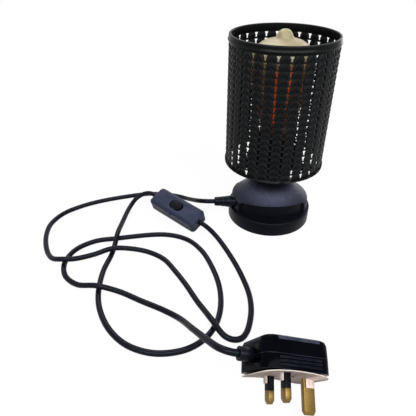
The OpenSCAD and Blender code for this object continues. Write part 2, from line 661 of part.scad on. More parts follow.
module switch_upper_shell() {
    l = switch_len - 2 * switch_wall;
    w = switch_w - 2 * switch_wall;
    lid = switch_h - switch_wall;
    color("#2a2c38") switch_place() difference() {
        union() {
            difference() {
                switch_box(switch_split, switch_split + 0.2, switch_h - 2.2, switch_h, 0, 5);
                translate([0, 0, switch_split - 1]) linear_extrude(height = lid - switch_split + 1) plate_2d(l - 3, w - 3, 2.4);
            }
            switch_posts(switch_split, lid + 0.2);
            for (s = [-1, 1]) translate([s * (switch_len / 2 - 4) - 0.8, -w / 2 + 1, switch_split])
                cube([1.6, w - 2, lid - switch_split + 0.2]);
            for (s = [-1, 1]) translate([-2.6, s * (cheek_y + 1) - 1, axis_z - 2.2]) cube([5.2, 2, lid - axis_z + 2.4]);
        }
        cord_way(switch_split);
        translate([0, 0, lid - 1]) linear_extrude(height = switch_wall + 3)
            stadium(rocker_len + 2 * rocker_gap, rocker_w + 2 * rocker_gap / 2);
        translate([0, switch_w / 2, axis_z]) rotate([90, 0, 0]) cylinder(r = trunnion_r + fit, h = switch_w, $fn = 32);
        for (s = [-1, 1]) translate([s * (switch_len / 2 - 5), s * (switch_w / 2 - 4), switch_split - 1])
            cylinder(r = 0.9, h = 5, $fn = 24);
    }
}

// The rocker is drawn as in the photo, its far left end pressed
module rocker_place() {
    switch_place() translate([0, 0, axis_z]) rotate([0, -rocker_tilt, 0]) children();
}

module switch_rocker() {
    h = switch_h - axis_z;
    color("#1a1b22") rocker_place() {
        intersection() {
            translate([0, rocker_w / 2, 0]) rotate([90, 0, 0]) linear_extrude(height = rocker_w)
                polygon([[-rocker_len / 2, -1.6], [rocker_len / 2, -1.6], [rocker_len / 2, h + 0.9], [0, h - 0.1],
                    [-rocker_len / 2, h + 0.9]]);
            translate([0, 0, -3]) linear_extrude(height = 12) stadium(rocker_len, rocker_w);
        }
        translate([-2, -2.5, -axis_z + 6.1]) cube([4, 5, axis_z - 7]);
        translate([0, cheek_y + 1.8, 0]) rotate([90, 0, 0]) cylinder(r = trunnion_r, h = 2 * cheek_y + 3.6, $fn = 32);
    }
}

module moving_contact() {
    color("#b08a48") rocker_place() translate([-6.5, -2, -axis_z + 5.6]) cube([13, 4, 0.5]);
}

module switch_terminals() {
    color("#b8964a") switch_place() for (s = [-1, 1]) {
        difference() {
            translate([s * 17 - 3, 3, switch_wall]) cube([6, 5, 5]);
            translate([s * 17, 5.5, switch_wall + 2]) cylinder(r = 1.25, h = 4, $fn = 24);
        }
        translate([s * 9.5 - 5.5, 3, switch_wall]) cube([11, 1.5, 0.6]);
        translate([s * 5.4 - 1.4, -1.5, switch_wall]) cube([2.8, 6, 1.9]);
    }
}

module switch_terminal_screws() {
    color("#b9bcc0") switch_place() {
        for (s = [-1, 1]) translate([s * 17, 5.5, switch_wall + 6.3]) screw(1.2, 3, 2, 1.3);
        for (s = [-1, 1]) translate([s * 17, -6, switch_wall + 5.3]) screw(1.2, 2, 2, 1.3);
    }
}

module neutral_link() {
    color("#b8964a") switch_place() difference() {
        translate([-20, -8, switch_wall]) cube([40, 4, 4]);
        for (s = [-1, 1]) translate([s * 17, -6, switch_wall + 1.5]) cylinder(r = 1.25, h = 4, $fn = 24);
        for (s = [-1, 1]) translate([s * 17, -6, switch_wall + 1]) rotate([0, s * 90, 0]) cylinder(r = 0.8, h = 8, $fn = 16);
    }
}

module switch_screws() {
    color("#9a9ca0") switch_place() for (s = [-1, 1]) translate([s * (switch_len / 2 - 5), s * (switch_w / 2 - 4), 0.5])
        mirror([0, 0, 1]) screw(0.85, switch_split + 1.4, 1.8, 1.4);
}

module plug_place() {
    translate(plug_at) rotate(plug_turn) children();
}

module plug_2d(d) {
    w = plug_w / 2 - d;
    t = plug_top - d;
    b = plug_bottom - d;
    e = plug_end_w / 2;
    c = plug_corner - d;
    g = end_corner - d;
    union() {
        polygon([[-w, g - b], [-w, t - c], [w, t - c], [w, g - b]]);
        translate([-w + c, t - c - 1]) square([2 * (w - c), c + 1]);
        translate([-e, -b]) square([2 * e, g + 1]);
        for (s = [-1, 1]) translate([s * (w - c), t - c]) circle(r = c, $fn = 48);
        for (s = [-1, 1]) translate([s * e, g - b]) circle(r = g, $fn = 48);
    }
}

module plug_base() {
    color("#15171f") plug_place() difference() {
        union() {
            translate([0, 0, -plug_base_h]) linear_extrude(height = plug_base_h) plug_2d(0);
            for (s = [-1, 1]) for (z = [-2.6, -4.8, -7]) translate([s * (plug_w / 2 + 0.3) - 0.6, rib_y, z - 0.5])
                cube([1.2, plug_top - plug_corner - rib_y, 1]);
        }
        translate([0, 0, -plug_base_h - 1]) linear_extrude(height = plug_base_h + 1 - 2.5) plug_2d(plug_wall);
        for (s = [-1, 1]) translate([s * pin_x - pin_w / 2 - fit, -pin_d / 2 - fit, -4])
            cube([pin_w + 2 * fit, pin_d + 2 * fit, 6]);
        translate([-earth_w / 2 - fit, earth_y - earth_d / 2 - fit, -4]) cube([earth_w + 2 * fit, earth_d + 2 * fit, 6]);
        translate([0, 9, -4]) cylinder(r = 1.6, h = 6, $fn = 24);
        translate([0, 9, -1.5]) cylinder(r = 3, h = 3, $fn = 32);
        translate([0, -plug_bottom - 3, plug_cord_z]) rotate([-90, 0, 0]) cylinder(r = cord_sleeve_r + fit, h = 6, $fn = 48);
    }
}

module plug_cover() {
    z = -plug_base_h;
    h = plug_cover_h;
    color("#171922") plug_place() difference() {
        union() {
            difference() {
                hull() {
                    translate([0, 0, z - 0.2]) linear_extrude(height = 0.2) plug_2d(0);
                    translate([0, 0, z - h + 3]) linear_extrude(height = 0.2) plug_2d(0.3);
                    translate([0, 0, z - h + 0.9]) linear_extrude(height = 0.2) plug_2d(1.3);
                    translate([0, 0, z - h]) linear_extrude(height = 0.2) plug_2d(3);
                }
                translate([0, 0, z - h + 2.4]) linear_extrude(height = h) plug_2d(plug_wall + 1);
            }
            translate([0, 9, z - h + 1]) cylinder(r = 3.2, h = h - 1, $fn = 32);
        }
        translate([0, 9, z - h + 4]) cylinder(r = 1.3, h = h, $fn = 24);
        translate([0, -plug_bottom - 3, plug_cord_z]) rotate([-90, 0, 0]) cylinder(r = cord_sleeve_r + fit, h = 7, $fn = 48);
    }
}

// A pin with a tapered tip, its foot in a block behind the plug's face
module pin(w, d, length, thin) {
    hull() {
        translate([0, 0, length - 2.6]) linear_extrude(height = 0.2) square([w, d], center = true);
        translate([0, 0, length - 0.2]) linear_extrude(height = 0.2) square([w - 1.9, d - 1.9], center = true);
    }
    translate([-w / 2, -d / 2, thin]) cube([w, d, length - thin - 2.5]);
    if (thin > 0) translate([-w / 2 + sleeve_t, -d / 2 + sleeve_t, -3]) cube([w - 2 * sleeve_t, d - 2 * sleeve_t, thin + 3.2]);
    if (thin == 0) translate([-w / 2, -d / 2, -3]) cube([w, d, 3.2]);
}

module pin_block(h, hole_y) {
    difference() {
        translate([-4, -4, -2.5 - h]) cube([8, 8, h]);
        translate([0, hole_y, -3 - h]) cylinder(r = 1.25, h = 4, $fn = 24);
    }
}

module neutral_pin() {
    color("#b79a55") plug_place() translate([pin_x, 0, 0]) {
        pin(pin_w, pin_d, pin_len, sleeve_len);
        pin_block(block_h, 1.2);
    }
}

module line_pin() {
    color("#b79a55") plug_place() translate([-pin_x, 0, 0]) {
        pin(pin_w, pin_d, pin_len, sleeve_len);
        pin_block(3, -1.2);
    }
}

module earth_pin() {
    color("#b79a55") plug_place() translate([0, earth_y, 0]) {
        pin(earth_w, earth_d, earth_len, 0);
        translate([0, -1.5, 0]) pin_block(block_h, -0.8);
    }
}

module pin_sleeves() {
    color("#101114") plug_place() for (s = [-1, 1]) translate([s * pin_x, 0, -2.4]) difference() {
        linear_extrude(height = sleeve_len + 2.35) square([pin_w, pin_d], center = true);
        translate([0, 0, -1]) linear_extrude(height = sleeve_len + 5)
            square([pin_w - 2 * sleeve_t + fit, pin_d - 2 * sleeve_t + fit], center = true);
    }
}

module fuse() {
    color("#c9b58c") plug_place() translate([-pin_x, 0, -plug_base_h - 1.2]) rotate([-90, 0, 0])
        translate([0, 0, -9]) cylinder(r = 3.1, h = 25.4, $fn = 32);
}

module fuse_clips() {
    z = -plug_base_h - 1.2;
    color("#a9885a") plug_place() for (c = [[-2, -5.5], [12, -2.5]]) translate([-pin_x, c[0], z]) difference() {
        translate([-4, -2, 0.6]) cube([8, 4, c[1] - z - 0.6]);
        rotate([90, 0, 0]) cylinder(r = 3.15, h = 8, center = true, $fn = 32);
    }
}

module plug_terminal_screws() {
    color("#b9bcc0") plug_place() {
        translate([pin_x, 1.2, -2.5 - block_h - 1.3]) mirror([0, 0, 1]) screw(1.2, 3, 2, 1.3);
        translate([0, earth_y - 2.3, -2.5 - block_h - 1.3]) mirror([0, 0, 1]) screw(1.2, 3, 2, 1.3);
    }
}

module cord_grip() {
    color("#c8c2b0") plug_place() difference() {
        translate([-9.5, -15, plug_cord_z - cord_r - 2.2]) cube([19, 4, 2.1]);
        for (s = [-1, 1]) translate([s * 7, -13, plug_cord_z - cord_r - 3]) cylinder(r = 1.3, h = 4, $fn = 24);
    }
}

module grip_screws() {
    color("#b9bcc0") plug_place() for (s = [-1, 1]) translate([s * 7, -13, plug_cord_z - cord_r - 3.5]) mirror([0, 0, 1])
        screw(1.1, 5, 1.9, 1.2);
}

module cover_screw() {
    color("#9a9ca0") plug_place() translate([0, 9, -0.1]) screw(1.25, plug_base_h + 2.2, 2.8, 1.3);
}

module plug_cord_sleeve() {
    color("#111216") plug_place() translate([0, -plug_bottom - 9, plug_cord_z]) rotate([-90, 0, 0]) difference() {
        union() {
            cylinder(r = cord_sleeve_r, h = 11.8, $fn = 48);
            translate([0, 0, 11.3]) cylinder(r = cord_sleeve_r - 1, h = 1.6, $fn = 48);
        }
        translate([0, 0, -1]) cylinder(r = cord_r + 0.15, h = 16, $fn = 32);
    }
}

// Thin wiring card pushed over the pins, bowed away from the plug's face, with a bent flap at each pin
module wiring_card() {
    color("#cdbeb4") plug_place() {
        difference() {
            intersection() {
                translate([-plug_w / 2, 0, 0]) rotate([90, 0, 90]) linear_extrude(height = plug_w)
                    translate([4, card_bow_r + card_t + 0.1]) difference() {
                        circle(r = card_bow_r + card_t, $fn = 180);
                        circle(r = card_bow_r, $fn = 180);
                    }
                translate([0, 0, -1]) linear_extrude(height = 9) plug_2d(0.4);
            }
            for (s = [-1, 1]) translate([s * pin_x - pin_w / 2 - 0.3, -pin_d / 2 - 1, -1]) cube([pin_w + 0.6, pin_d + 1.3, 8]);
            translate([-earth_w / 2 - 1, earth_y - earth_d / 2 - 0.3, -1]) cube([earth_w + 1.3, earth_d + 0.6, 8]);
            translate([0, 9, -1]) cylinder(r = 3.4, h = 6, $fn = 32);
        }
        for (s = [-1, 1]) translate([s * pin_x - 2.4, -pin_d / 2 - 1.2, 0.3]) cube([4.8, card_t, 5]);
        translate([-earth_w / 2 - 1.2, earth_y - 3, 1.2]) cube([card_t, 6, 5.6]);
    }
}

module cord_to_switch() {
    color("#121317") sweep(route_switch, cord_r, 8);
}

module cord_to_plug() {
    color("#121317") sweep(route_plug, cord_r, 8);
}

base_plate();
base_cover();
base_screws();
terminal_block();
terminal_tubes();
terminal_screws();
cord_clamp();
clamp_screws();
flex_tail();
core_wires();
strain_relief();
holder_body();
holder_screws();
socket_insulator();
screw_shell();
centre_contact();
shade_wall();
shade_top_rim();
shade_carrier();
shade_ring();
bulb_glass();
bulb_cap();
cap_insulator();
cap_contact();
bulb_stem();
filaments();
filament_wires();
switch_lower_shell();
switch_upper_shell();
switch_rocker();
moving_contact();
switch_terminals();
switch_terminal_screws();
neutral_link();
switch_screws();
plug_base();
plug_cover();
neutral_pin();
line_pin();
earth_pin();
pin_sleeves();
fuse();
fuse_clips();
plug_terminal_screws();
cord_grip();
grip_screws();
cover_screw();
plug_cord_sleeve();
wiring_card();
cord_to_switch();
cord_to_plug();
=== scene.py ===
"""Table lamp with a knitted-look openwork shade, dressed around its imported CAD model.

Metres, in the CAD frame: origin under the middle of the base, +Z up, the flex leaves along -X.
"""

import logging
import math
from dataclasses import dataclass, field
from enum import Enum
from typing import Any

import bmesh
import bpy
from mathutils import Matrix, Vector


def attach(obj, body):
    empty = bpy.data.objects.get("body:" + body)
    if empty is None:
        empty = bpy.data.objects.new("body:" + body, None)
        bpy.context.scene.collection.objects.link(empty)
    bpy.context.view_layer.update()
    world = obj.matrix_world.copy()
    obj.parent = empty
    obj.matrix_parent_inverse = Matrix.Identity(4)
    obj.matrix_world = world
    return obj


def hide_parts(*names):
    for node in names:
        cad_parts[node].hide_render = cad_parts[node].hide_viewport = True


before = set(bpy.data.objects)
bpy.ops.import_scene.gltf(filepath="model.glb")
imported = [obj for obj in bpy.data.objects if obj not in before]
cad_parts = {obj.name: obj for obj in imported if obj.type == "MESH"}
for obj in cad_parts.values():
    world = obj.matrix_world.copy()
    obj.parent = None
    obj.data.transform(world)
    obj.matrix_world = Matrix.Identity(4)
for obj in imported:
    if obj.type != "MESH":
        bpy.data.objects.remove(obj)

log = logging.getLogger("lamp")
MM = 0.001
Rgb = tuple[float, float, float]
Point = tuple[float, float, float]
Pair = tuple[float, float]
Profile = list[Pair]
Socket = bpy.types.NodeSocket
Look = tuple[Socket, Socket]
Node = bpy.types.Node
Tree = bpy.types.NodeTree
Piece = bpy.types.Object
# Socket types of the node groups.
WHOLE, NUMBER, COLOUR = "NodeSocketInt", "NodeSocketFloat", "NodeSocketColor"
VECTOR, FINISH, SHAPE = "NodeSocketVector", "NodeSocketMaterial", "NodeSocketGeometry"
# Rubbed edges, which also carry painted highlights: how narrow a face is, which of its edges are long, and how many
# radians these turn.
SLIM, LONG_SIDE, TURN_FROM, TURN_SPAN = 2.4 * MM, 0.6, 0.25, 0.45
# Edges sharper than these many degrees stay sharp, on most pieces, on thin sheet and on beads.
CREASE, SHEET_CREASE, BEAD_CREASE = 38.0, 50.0, 80.0
# Points of a CAD node closer than this are one, and folds of fewer degrees than this are flat.
SAME_POINT, FLAT = 2e-6, 0.4
# Radii and gaps below this are nothing.
NOTHING = 1e-6
BUMP_HEIGHT = 0.4 * MM
COAT_ROUGHNESS = 0.08
WHITE = (1.0, 1.0, 1.0, 1.0)


class Body(Enum):
    """The bodies that pieces ride on."""

    LAMP = "lamp"
    BULB = "bulb"
    ROCKER = "rocker"


class Slot(Enum):
    """The record's material slots."""

    BASE = "base_paint"
    SHADE = "shade_paint"
    PLATE = "plate_steel"
    SCREW = "screw_steel"
    BRASS = "brass"
    CREAM = "cream_plastic"
    BLACK = "black_plastic"
    SWITCH = "switch_plastic"
    PLUG = "plug_plastic"
    FLEX = "flex"
    WIRE = "wire"
    PORCELAIN = "porcelain"
    AMBER = "amber_glass"
    STEM = "stem_glass"
    FILAMENT = "filament"
    FUSE = "fuse_body"
    CARD = "card"


def linear(rgb: Rgb) -> tuple[float, float, float, float]:
    """Turn a display colour into the renderer's linear colour.

    Args:
        rgb: red, green and blue from 0 to 255.

    Returns:
        The linear colour with full alpha.
    """
    parts = [c / 255 for c in rgb]
    done = [c / 12.92 if c <= 0.04045 else ((c + 0.055) / 1.055) ** 2.4 for c in parts]
    return done[0], done[1], done[2], 1.0


class TreeWriter:
    """Adds nodes and links to a node tree in few words."""

    def __init__(self, tree: Tree) -> None:
        """Keep the tree that is written to."""
        self.tree = tree

    @classmethod
    def fresh(cls, owner: bpy.types.Material | bpy.types.World) -> Any:
        """Start over with the tree of a material or a world.

        Args:
            owner: the material or world.

        Returns:
            A writer for its empty tree.
        """
        owner.use_nodes = True
        owner.node_tree.nodes.clear()
        return cls(owner.node_tree)

    @classmethod
    def group(cls, name: str, kind: str, inputs: dict[str, str], outputs: dict[str, str]) -> tuple[Any, Any, Any]:
        """Start a node group with its own sockets.

        Args:
            name: the group's name.
            kind: the tree's type name.
            inputs: socket types by name.
            outputs: socket types by name.

        Returns:
            A writer for the group, the sockets that come in and those that go out.
        """
        w = cls(bpy.data.node_groups.new(name, kind))
        for way, sockets in (("INPUT", inputs), ("OUTPUT", outputs)):
            for label, socket in sockets.items():
                w.tree.interface.new_socket(label, in_out=way, socket_type=socket)
        return w, w.put("NodeGroupInput").outputs, w.put("NodeGroupOutput").inputs

    def put(self, kind: str, inputs: dict[Any, Any] | None = None, **settings: Any) -> Node:
        """Add one node.

        Args:
            kind: the node's type name.
            inputs: values or sockets by input name or number.
            settings: properties of the node itself.

        Returns:
            The new node.
        """
        node = self.tree.nodes.new(kind)
        for name, value in settings.items():
            setattr(node, name, value)
        for name, value in (inputs or {}).items():
            if isinstance(value, Socket):
                self.link(value, node.inputs[name])
            else:
                node.inputs[name].default_value = value
        return node

    def link(self, source: Socket, target: Socket) -> None:
        """Link one socket to another."""
        self.tree.links.new(source, target)

    def sum(self, operation: str, a: Any, b: Any = 0.0, c: Any = 0.0) -> Socket:
        """Add a math node for up to three values or sockets."""
        return self.put("ShaderNodeMath", {0: a, 1: b, 2: c}, operation=operation).outputs[0]

    def times(self, product: Any, *factors: Any) -> Any:
        """Multiply values or sockets.

        Args:
            product: the first of them.
            factors: the others.

        Returns:
            The product's socket.
        """
        for factor in factors:
            product = self.sum("MULTIPLY", product, factor)
        return product

    def ramp(self, value: Socket, low: float, high: float, start: Any = 0.0, end: Any = 1.0) -> Socket:
        """Map the range from low to high onto the range from start to end."""
        return self.put("ShaderNodeMapRange", {0: value, 1: low, 2: high, 3: start, 4: end}).outputs[0]

    def mix(self, amount: Socket, first: Any, second: Any) -> Socket:
        """Mix two colours, of which the second has the share that amount says."""
        return self.put("ShaderNodeMix", {0: amount, 6: first, 7: second}, data_type="RGBA").outputs[2]

    def noise(self, where: Socket, scale: Any, detail: float = 2.0, rough: float = 0.5) -> Socket:
        """Add cloudy noise, with as many finer layers as detail says and as strong as rough says."""
        wanted = {"Vector": where, "Scale": scale, "Detail": detail, "Roughness": rough}
        return self.put("ShaderNodeTexNoise", wanted).outputs[0]

    def place(self) -> Socket:
        """Give the place in the object's own frame."""
        return self.put("ShaderNodeTexCoord").outputs["Object"]

    def vector(self, x: Any = 0.0, y: Any = 0.0, z: Any = 0.0) -> Socket:
        """Put three numbers together."""
        return self.put("ShaderNodeCombineXYZ", {0: x, 1: y, 2: z}).outputs[0]

    def axes(self, where: Socket) -> Any:
        """Take a vector apart, by axis name."""
        return self.put("ShaderNodeSeparateXYZ", {0: where}).outputs

    def ring(self, radius: Socket, turn: Socket, height: Socket) -> Socket:
        """Find the place at a radius from the Z axis, an angle round it and a height along it."""
        x = self.times(radius, self.sum("COSINE", turn))
        return self.vector(x, self.times(radius, self.sum("SINE", turn)), height)

    def cast(self, count: Socket, place: Socket, spin: Socket, bead: Socket, finish: Socket) -> Socket:
        """Set a bead on many points, as real faces with a finish.

        Args:
            count: number of points.
            place: where each point goes.
            spin: how each bead is turned.
            bead: the bead's shape.
            finish: the material.

        Returns:
            The shape's socket.
        """
        points = self.put("GeometryNodePoints", {"Count": count}).outputs[0]
        moved = self.put("GeometryNodeSetPosition", {"Geometry": points, "Position": place}).outputs[0]
        turned = self.put("FunctionNodeEulerToRotation", {0: spin}).outputs[0]
        wanted = {"Points": moved, "Instance": bead, "Rotation": turned}
        beads = self.put("GeometryNodeInstanceOnPoints", wanted).outputs[0]
        real = self.put("GeometryNodeRealizeInstances", {"Geometry": beads}).outputs[0]
        return self.put("GeometryNodeSetMaterial", {"Geometry": real, "Material": finish}).outputs[0]


class SurfaceEffects:
    """Shader groups that several finishes share, each built once."""

    def __init__(self) -> None:
        """Build the three groups."""
        self.drift = self._drift()
        self.grain = self._grain()
        self.edges = self._wear_and_glint_edges()

    @staticmethod
    def _drift() -> Tree:
        """Build the slow change of tint and gloss.

        Returns:
            The group, which puts out a colour and a roughness.
        """
        kinds = {"Colour": COLOUR, "Tint": COLOUR, "Patch Scale": NUMBER, "Gloss Low": NUMBER, "Gloss High": NUMBER}
        gives = {"Colour": COLOUR, "Roughness": NUMBER}
        w, get, out = TreeWriter.group("tint and gloss drift", "ShaderNodeTree", kinds, gives)
        place, scale = w.place(), get["Patch Scale"]
        cloud = w.ramp(w.noise(place, scale, 4.0), 0.38, 0.62)
        w.link(w.mix(cloud, get["Colour"], get["Tint"]), out["Colour"])
        finer = w.noise(place, w.times(scale, 3.1), 5.0, 0.6)
        w.link(w.ramp(finer, 0.3, 0.7, get["Gloss Low"], get["Gloss High"]), out["Roughness"])
        return w.tree

    @staticmethod
    def _grain() -> Tree:
        """Build the fine grain of paint and mouldings.

        Returns:
            The group, which puts out a height.
        """
        w, get, out = TreeWriter.group("fine grain", "ShaderNodeTree", {"Grain Scale": NUMBER}, {"Height": NUMBER})
        place, scale = w.place(), get["Grain Scale"]
        wide = w.noise(place, w.times(scale, 0.21))
        w.link(w.sum("MULTIPLY_ADD", wide, 0.6, w.noise(place, scale, 3.0)), out["Height"])
        return w.tree

    @staticmethod
    def _wear_and_glint_edges() -> Tree:
        """Build the rubbed edges, lightened partly by wear and partly by painted highlights, from the pieces' edge
        attribute.

        Returns:
            The group, which puts out a colour.
        """
        kinds = {"Colour": COLOUR, "Wear And Glint": COLOUR, "Amount": NUMBER}
        w, get, out = TreeWriter.group("rubbed edges", "ShaderNodeTree", kinds, {"Colour": COLOUR})
        # The edge mark places the lighter edge colour, which is partly wear and partly painted highlight.
        edge = w.put("ShaderNodeAttribute", attribute_name="edge").outputs["Fac"]
        broken = w.ramp(w.noise(w.place(), 160.0, 4.0), 0.3, 0.7, 0.35, 1.0)
        amount = w.times(edge, broken, get["Amount"])
        w.link(w.mix(amount, get["Colour"], get["Wear And Glint"]), out["Colour"])
        return w.tree


@dataclass(frozen=True)
class Finish:
    """A painted, moulded or metal finish."""

    slot: Slot
    colour: Rgb
    tint: Rgb
    wear_and_glint: Rgb
    gloss: Pair
    patch: float
    grain: float
    depth: float
    wear_and_glint_share: float = 0.5
    metallic: float = 0.0
    specular: float = 0.5
    coat: float = 0.0
    sheen: Rgb = (255, 255, 255)

    def colours(self, w: TreeWriter, effects: SurfaceEffects) -> Look:
        """Place the drift and the rubbed edges, whose lighter colour is partly wear and partly painted highlight.

        Args:
            w: writer for the material's tree.
            effects: the shared groups.

        Returns:
            The colour and the roughness.
        """
        low, high = self.gloss
        wanted = {"Colour": linear(self.colour), "Tint": linear(self.tint), "Patch Scale": self.patch}
        wanted |= {"Gloss Low": low, "Gloss High": high}
        drift = w.put("ShaderNodeGroup", wanted, node_tree=effects.drift).outputs
        wanted = {"Colour": drift["Colour"], "Wear And Glint": linear(self.wear_and_glint), "Amount": self.wear_and_glint_share}
        edges = w.put("ShaderNodeGroup", wanted, node_tree=effects.edges).outputs
        return edges["Colour"], drift["Roughness"]

    def special(self, colour: Socket) -> dict[str, Any]:
        """Name the shader's inputs that differ between kinds of finish."""
        return {"Base Color": colour}

    def material(self, effects: SurfaceEffects) -> bpy.types.Material:
        """Make the whole material.

        Args:
            effects: the shared groups.

        Returns:
            The material.
        """
        made = bpy.data.materials.new(self.slot.value)
        w = TreeWriter.fresh(made)
        colour, rough = self.colours(w, effects)
        grain = w.put("ShaderNodeGroup", {"Grain Scale": self.grain}, node_tree=effects.grain).outputs[0]
        bump = w.put("ShaderNodeBump", {"Height": grain, "Strength": self.depth, "Distance": BUMP_HEIGHT}).outputs[0]
        wanted = {"Roughness": rough, "Normal": bump, "Metallic": self.metallic}
        wanted |= {"Specular IOR Level": self.specular, "Specular Tint": linear(self.sheen)}
        wanted |= {"Coat Weight": self.coat, "Coat Roughness": COAT_ROUGHNESS}
        shader = w.put("ShaderNodeBsdfPrincipled", wanted | self.special(colour))
        w.put("ShaderNodeOutputMaterial", {"Surface": shader.outputs[0]})
        return made


@dataclass(frozen=True)
class ShoulderHighlightFinish(Finish):
    """Paint with a painted highlight on the base's sloping shoulder, in brushed streaks, with painted shade toward
    the neck under the shade.
    """

    # The painted highlight's colour, the shoulder's heights, how the highlight rises over the lower edge, how it
    # fades to painted shade at the neck, which slopes take it, and its streaks.
    painted_highlight: Rgb = (82, 86, 106)
    band: Pair = (25.5 * MM, 46.0 * MM)
    highlight_rise: Pair = (3.0 * MM, 11.0 * MM)
    neck_shade_fade: float = 7.0 * MM
    slopes: Pair = (0.3, 0.97)
    streaks: float = 38.0
    stretch: float = 6.0

    def colours(self, w: TreeWriter, effects: SurfaceEffects) -> Look:
        """Place the drift, the edges and the shoulder's painted highlight and shade.

        Args:
            w: writer for the material's tree.
            effects: the shared groups.

        Returns:
            The colour and the roughness.
        """
        colour, rough = super().colours(w, effects)
        (foot, top), (low, high), (least, most) = self.band, self.highlight_rise, self.slopes
        place = w.axes(w.place())
        turn = w.sum("ARCTAN2", place["Y"], place["X"])
        round_it = w.vector(w.sum("COSINE", turn), w.sum("SINE", turn), w.times(place["Z"], self.stretch))
        # Brushed streaks break up the painted highlight.
        light = w.ramp(w.noise(round_it, self.streaks), 0.32, 0.68, 0.6, 1.0)
        # Only faces that tilt upward take the painted highlight.
        slope = w.put("ShaderNodeAttribute", attribute_name="slope").outputs["Fac"]
        tilted = w.times(w.sum("GREATER_THAN", slope, least), w.sum("LESS_THAN", slope, most))
        above = w.times(w.sum("GREATER_THAN", place["Z"], foot), tilted)
        # Painted shade toward the neck under the shade. The highlight also weakens toward the shoulder's lower edge.
        neck_shade_fade = w.ramp(place["Z"], top - self.neck_shade_fade, top, 1.0, 0.0)
        highlight_rise = w.ramp(place["Z"], foot + low, foot + high, 0.3, 1.0)
        return w.mix(w.times(above, w.times(neck_shade_fade, highlight_rise), light), colour, linear(self.painted_highlight)), rough


@dataclass(frozen=True)
class GlassFinish(Finish):
    """Tinted glass with a faint ripple, clear or a little milky."""

    clear: float = 1.0
    ior: float = 1.46

    def special(self, colour: Socket) -> dict[str, Any]:
        """Let light through."""
        return {"Base Color": colour, "Transmission Weight": self.clear, "IOR": self.ior}


@dataclass(frozen=True)
class AmberFinish(GlassFinish):
    """Glass with a pale, frosted crown and darker amber sides, which are partly painted light on the crown and
    painted shade on the sides, and with fine painted gold lines for the wires and reflections seen through the
    crown.
    """

    side: Rgb = (186, 150, 96)
    painted_wire_glint: Rgb = (232, 198, 124)
    lines: int = 12
    line: Pair = (0.02, 0.11)
    strength: float = 0.65
    frost: float = 0.32
    fade: Pair = (160.0 * MM, 177.0 * MM)

    def colours(self, w: TreeWriter, effects: SurfaceEffects) -> Look:
        """Place the drift, the darker amber sides and the crown's painted gold lines.

        Args:
            w: writer for the material's tree.
            effects: the shared groups.

        Returns:
            The colour and the roughness.
        """
        colour, rough = super().colours(w, effects)
        place = w.axes(w.place())
        # The pale crown fades into the darker amber sides: a frosted crown, with painted light on top and painted
        # shade lower down.
        crown = w.ramp(place["Z"], *self.fade)
        tinted = w.mix(crown, linear(self.side), colour)
        # Painted gold lines for the wires and reflections seen through the crown.
        off = w.sum("PINGPONG", w.sum("ARCTAN2", place["Y"], place["X"]), math.pi / self.lines)
        line = w.times(w.ramp(off, *self.line, self.strength, 0.0), crown)
        return w.mix(line, tinted, linear(self.painted_wire_glint)), w.sum("MULTIPLY_ADD", crown, self.frost, rough)


@dataclass(frozen=True)
class PaintedGlowFinish(Finish):
    """Coated filament with rows of small chips under the coat, and a painted glow: a little emission that keeps it
    bright inside the dark shade.
    """

    painted_glow: float = 1.0
    chip: float = 1.6 * MM
    bright: Rgb = (255, 150, 60)

    def colours(self, w: TreeWriter, effects: SurfaceEffects) -> Look:
        """Place the drift and the chips.

        Args:
            w: writer for the material's tree.
            effects: the shared groups.

        Returns:
            The colour and the roughness.
        """
        colour, rough = super().colours(w, effects)
        half = self.chip / 2
        wave = w.sum("PINGPONG", w.axes(w.place())["Z"], half)
        return w.mix(w.ramp(wave, 0.0, half, 0.0, 0.5), colour, linear(self.bright)), rough

    def special(self, colour: Socket) -> dict[str, Any]:
        """Paint a glow on the coat with emission."""
        return {"Base Color": colour, "Emission Color": colour, "Emission Strength": self.painted_glow}


@dataclass(frozen=True)
class CardFinish(Finish):
    """Thin card with faint bands of print across it, in the plug's own directions."""

    ink: Rgb = (196, 120, 122)
    at: Point = (-22.3 * MM, -221.7 * MM, 26.2 * MM)
    turn: Point = (math.radians(-143.7), math.radians(56.4), math.radians(127.2))
    line: float = 2.4 * MM
    half: float = 17.0 * MM
    words: float = 420.0
    strength: float = 0.55

    def colours(self, w: TreeWriter, effects: SurfaceEffects) -> Look:
        """Place the drift, the edges and the print.

        Args:
            w: writer for the material's tree.
            effects: the shared groups.

        Returns:
            The colour and the roughness.
        """
        colour, rough = super().colours(w, effects)
        wanted = {"Vector": w.place(), "Location": self.at, "Rotation": self.turn}
        where = w.put("ShaderNodeMapping", wanted, vector_type="TEXTURE").outputs[0]
        part = w.axes(where)
        band = w.sum("LESS_THAN", w.sum("PINGPONG", part["Y"], self.line / 2), self.line * 0.16)
        gaps = w.ramp(w.noise(where, self.words, 1.0), 0.42, 0.5)
        inside = w.sum("LESS_THAN", w.sum("ABSOLUTE", part["X"]), self.half)
        return w.mix(w.times(band, gaps, inside, self.strength), colour, linear(self.ink)), rough


